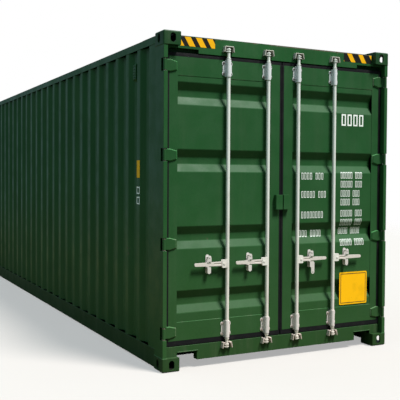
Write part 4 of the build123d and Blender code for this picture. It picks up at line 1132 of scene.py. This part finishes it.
def add_marks():
    """Rows of empty white boxes where the right leaf is marked."""
    box = empty_box(BOX_WIDTH, BOX_HEIGHT, BOX_LINE)
    boxes = []
    for top, groups in zip(OUTER_TOPS, OUTER_GROUPS):
        boxes += box_row(box, OUTER_START, OUTER_PITCH, top, groups)
    for top, groups in zip(INNER_TOPS, INNER_GROUPS):
        boxes += box_row(box, INNER_START, INNER_PITCH, top, groups)
    large = empty_box(LARGE_WIDTH, LARGE_HEIGHT, LARGE_LINE)
    middle = LARGE_TOP - LARGE_HEIGHT / 2
    first = LARGE_START + LARGE_WIDTH / 2
    large_boxes = [
        copy_of(large, (LEAF_FACE + MARK_REACH, first + number * LARGE_PITCH, middle))
        for number in range(LARGE_COUNT)
    ]
    for name, parts in (("right_row_marks", boxes), ("right_number_mark", large_boxes)):
        piece = joined(name, parts)
        lay_on(piece, panels["right"])
        finish_piece(piece, white_print, "right_door")
    for source in (box, large):
        bpy.data.objects.remove(source)


def frame_plate(name, low, high, line, finish, body):
    """A thin rectangular ring in a plane of constant X or Y."""
    thin = min(range(3), key=lambda axis: high[axis] - low[axis])
    piece = plate(name, low, high, finish, body)
    pick(piece)
    bpy.ops.object.mode_set(mode="EDIT")
    bpy.ops.mesh.select_mode(type="FACE")
    bpy.ops.mesh.select_all(action="DESELECT")
    bpy.ops.object.mode_set(mode="OBJECT")
    for face in piece.data.polygons:
        face.select = abs(face.normal[thin]) > FACING
    bpy.ops.object.mode_set(mode="EDIT")
    bpy.ops.mesh.inset(thickness=line, depth=0)
    bpy.ops.mesh.bridge_edge_loops()
    bpy.ops.object.mode_set(mode="OBJECT")
    return piece


def add_sign():
    """The plain yellow plate low on the right leaf, with a black line inside its edge."""
    plate(
        "right_yellow_plate", (LEAF_FACE, *SIGN_LOW), (LEAF_FACE + SIGN_THICKNESS, *SIGN_HIGH),
        yellow_print, "right_door", SIGN_CORNER,
    )
    front = LEAF_FACE + SIGN_THICKNESS
    low = (front, SIGN_LOW[0] + SIGN_BORDER, SIGN_LOW[1] + SIGN_BORDER)
    high = (front + FILM, SIGN_HIGH[0] - SIGN_BORDER, SIGN_HIGH[1] - SIGN_BORDER)
    frame_plate("right_plate_border", low, high, SIGN_LINE, black_print, "right_door")


# Marks on the first full crest of the left wall: their span in X, and their spans in height
CREST_SPAN = (5.492, 5.560)
CREST_MARK = (1.652, 1.810)
CREST_BOXES = ((1.504, 1.570), (1.411, 1.479))
CREST_LINE = 0.011


def add_wall_marks():
    """A yellow film and two empty white frames on the left wall."""
    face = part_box("left_side_wall")[0][1]
    start, end = CREST_SPAN
    low = (start, face - FILM, CREST_MARK[0])
    high = (end, face, CREST_MARK[1])
    # The wall's marks use the brighter prints, painted light against the wall's shade
    plate("left_wall_yellow_mark", low, high, shade_lifted_wall_yellow, "root")
    for number, (bottom, top) in enumerate(CREST_BOXES, 1):
        low = (start, face - FILM, bottom)
        high = (end, face, top)
        frame_plate(f"left_wall_frame_{number}", low, high, CREST_LINE, shade_lifted_wall_white, "root")


add_bracket_bolts()
add_door_seams()
add_hinge_welds()
add_hinge_washers()
add_post_welds()
add_seals()
add_bulbs()
add_catch_rivets()
add_roof_joints()
add_floor_screws()
add_hazard_strips()
add_marks()
add_sign()
add_wall_marks()


# Camera

def add_camera():
    """The camera at the photograph's place, from its heading, tilt and roll."""
    level = cos(CAMERA_PITCH)
    forward = Vector((-cos(CAMERA_YAW) * level, sin(CAMERA_YAW) * level, sin(CAMERA_PITCH)))
    right = forward.cross(Vector((0, 0, 1))).normalized()
    up = right.cross(forward)
    turned_right = cos(CAMERA_ROLL) * right + sin(CAMERA_ROLL) * up
    turned_up = cos(CAMERA_ROLL) * up - sin(CAMERA_ROLL) * right
    turn = Matrix((turned_right, turned_up, -forward)).transposed().to_4x4()
    bpy.ops.object.camera_add()
    camera = bpy.context.object
    camera.matrix_world = Matrix.Translation(CAMERA_PLACE) @ turn
    camera.data.lens = CAMERA_LENS
    camera.data.sensor_width = SENSOR_WIDTH
    camera.data.shift_y = CAMERA_SHIFT_Y
    camera.data.clip_end = VIEW_REACH
    scene.camera = camera


# Floor and light

def add_floor():
    """A plain pale floor that thins out far from the container, and shows a pale shadow."""
    bpy.ops.mesh.primitive_circle_add(
        vertices=FLOOR_SIDES, radius=FLOOR_RADIUS, fill_type="NGON", location=(0, 0, -FLOOR_DROP)
    )
    floor = bpy.context.object
    floor.name = "studio_floor"
    settle(floor)
    finish, tree, shader, place = new_finish("pale floor")
    seen = add(tree, "ShaderNodeLightPath").outputs["Is Camera Ray"]
    tone = mix(tree, seen, FLOOR_BOUNCE, FLOOR_TONE)
    tree.links.new(tone, shader.inputs["Base Color"])
    shader.inputs["Roughness"].default_value = FLOOR_ROUGHNESS
    shader.inputs["Specular IOR Level"].default_value = FLOOR_SHINE
    distance = add(tree, "ShaderNodeVectorMath", {0: place}, operation="LENGTH").outputs["Value"]
    fade = steps(tree, distance, FLOOR_FADE_START, FLOOR_FADE_END, 1.0, 0.0)
    veil = compute(tree, "SUBTRACT", 1.0, compute(tree, "MULTIPLY", seen, 1.0 - FLOOR_VEIL))
    tree.links.new(compute(tree, "MULTIPLY", fade, veil), shader.inputs["Alpha"])
    floor.data.materials.append(finish)


def add_light():
    """One soft key high over the right door, and a pale sky, brighter on the left and at the back.

    The camera sees plain white in its place.
    """
    bpy.ops.object.light_add(type="SUN")
    key = bpy.context.object
    key.rotation_euler = KEY_TOWARDS.to_track_quat("Z", "Y").to_euler()
    key.data.energy = KEY_STRENGTH
    key.data.angle = KEY_SOFTNESS
    key.data.color = KEY_COLOUR
    world = bpy.data.worlds.new("white surround")
    scene.world = world
    world.use_nodes = True
    tree = world.node_tree
    tree.nodes.clear()
    direction = split(tree, add(tree, "ShaderNodeTexCoord").outputs["Generated"])
    height = steps(tree, direction[2], *HORIZON_SPAN, HORIZON_STRENGTH, SKY_STRENGTH)
    side = steps(tree, direction[1], *SHADE_SPAN, SHADE_SHARE, 1.0)
    back = steps(tree, direction[0], *BACK_SPAN, BACK_STRENGTH, 0.0)
    strength = compute(tree, "ADD", compute(tree, "MULTIPLY", height, side), back)
    lit = add(tree, "ShaderNodeBackground", {"Color": (*SKY_COLOUR, 1.0), "Strength": strength})
    seen = add(tree, "ShaderNodeBackground", {"Color": (1.0, 1.0, 1.0, 1.0), "Strength": 1.0})
    camera_ray = add(tree, "ShaderNodeLightPath").outputs["Is Camera Ray"]
    choice = add(tree, "ShaderNodeMixShader", {0: camera_ray, 1: lit.outputs[0], 2: seen.outputs[0]})
    add(tree, "ShaderNodeOutputWorld", {"Surface": choice.outputs[0]})
    scene.view_settings.view_transform = "Standard"


add_camera()
add_floor()
add_light()
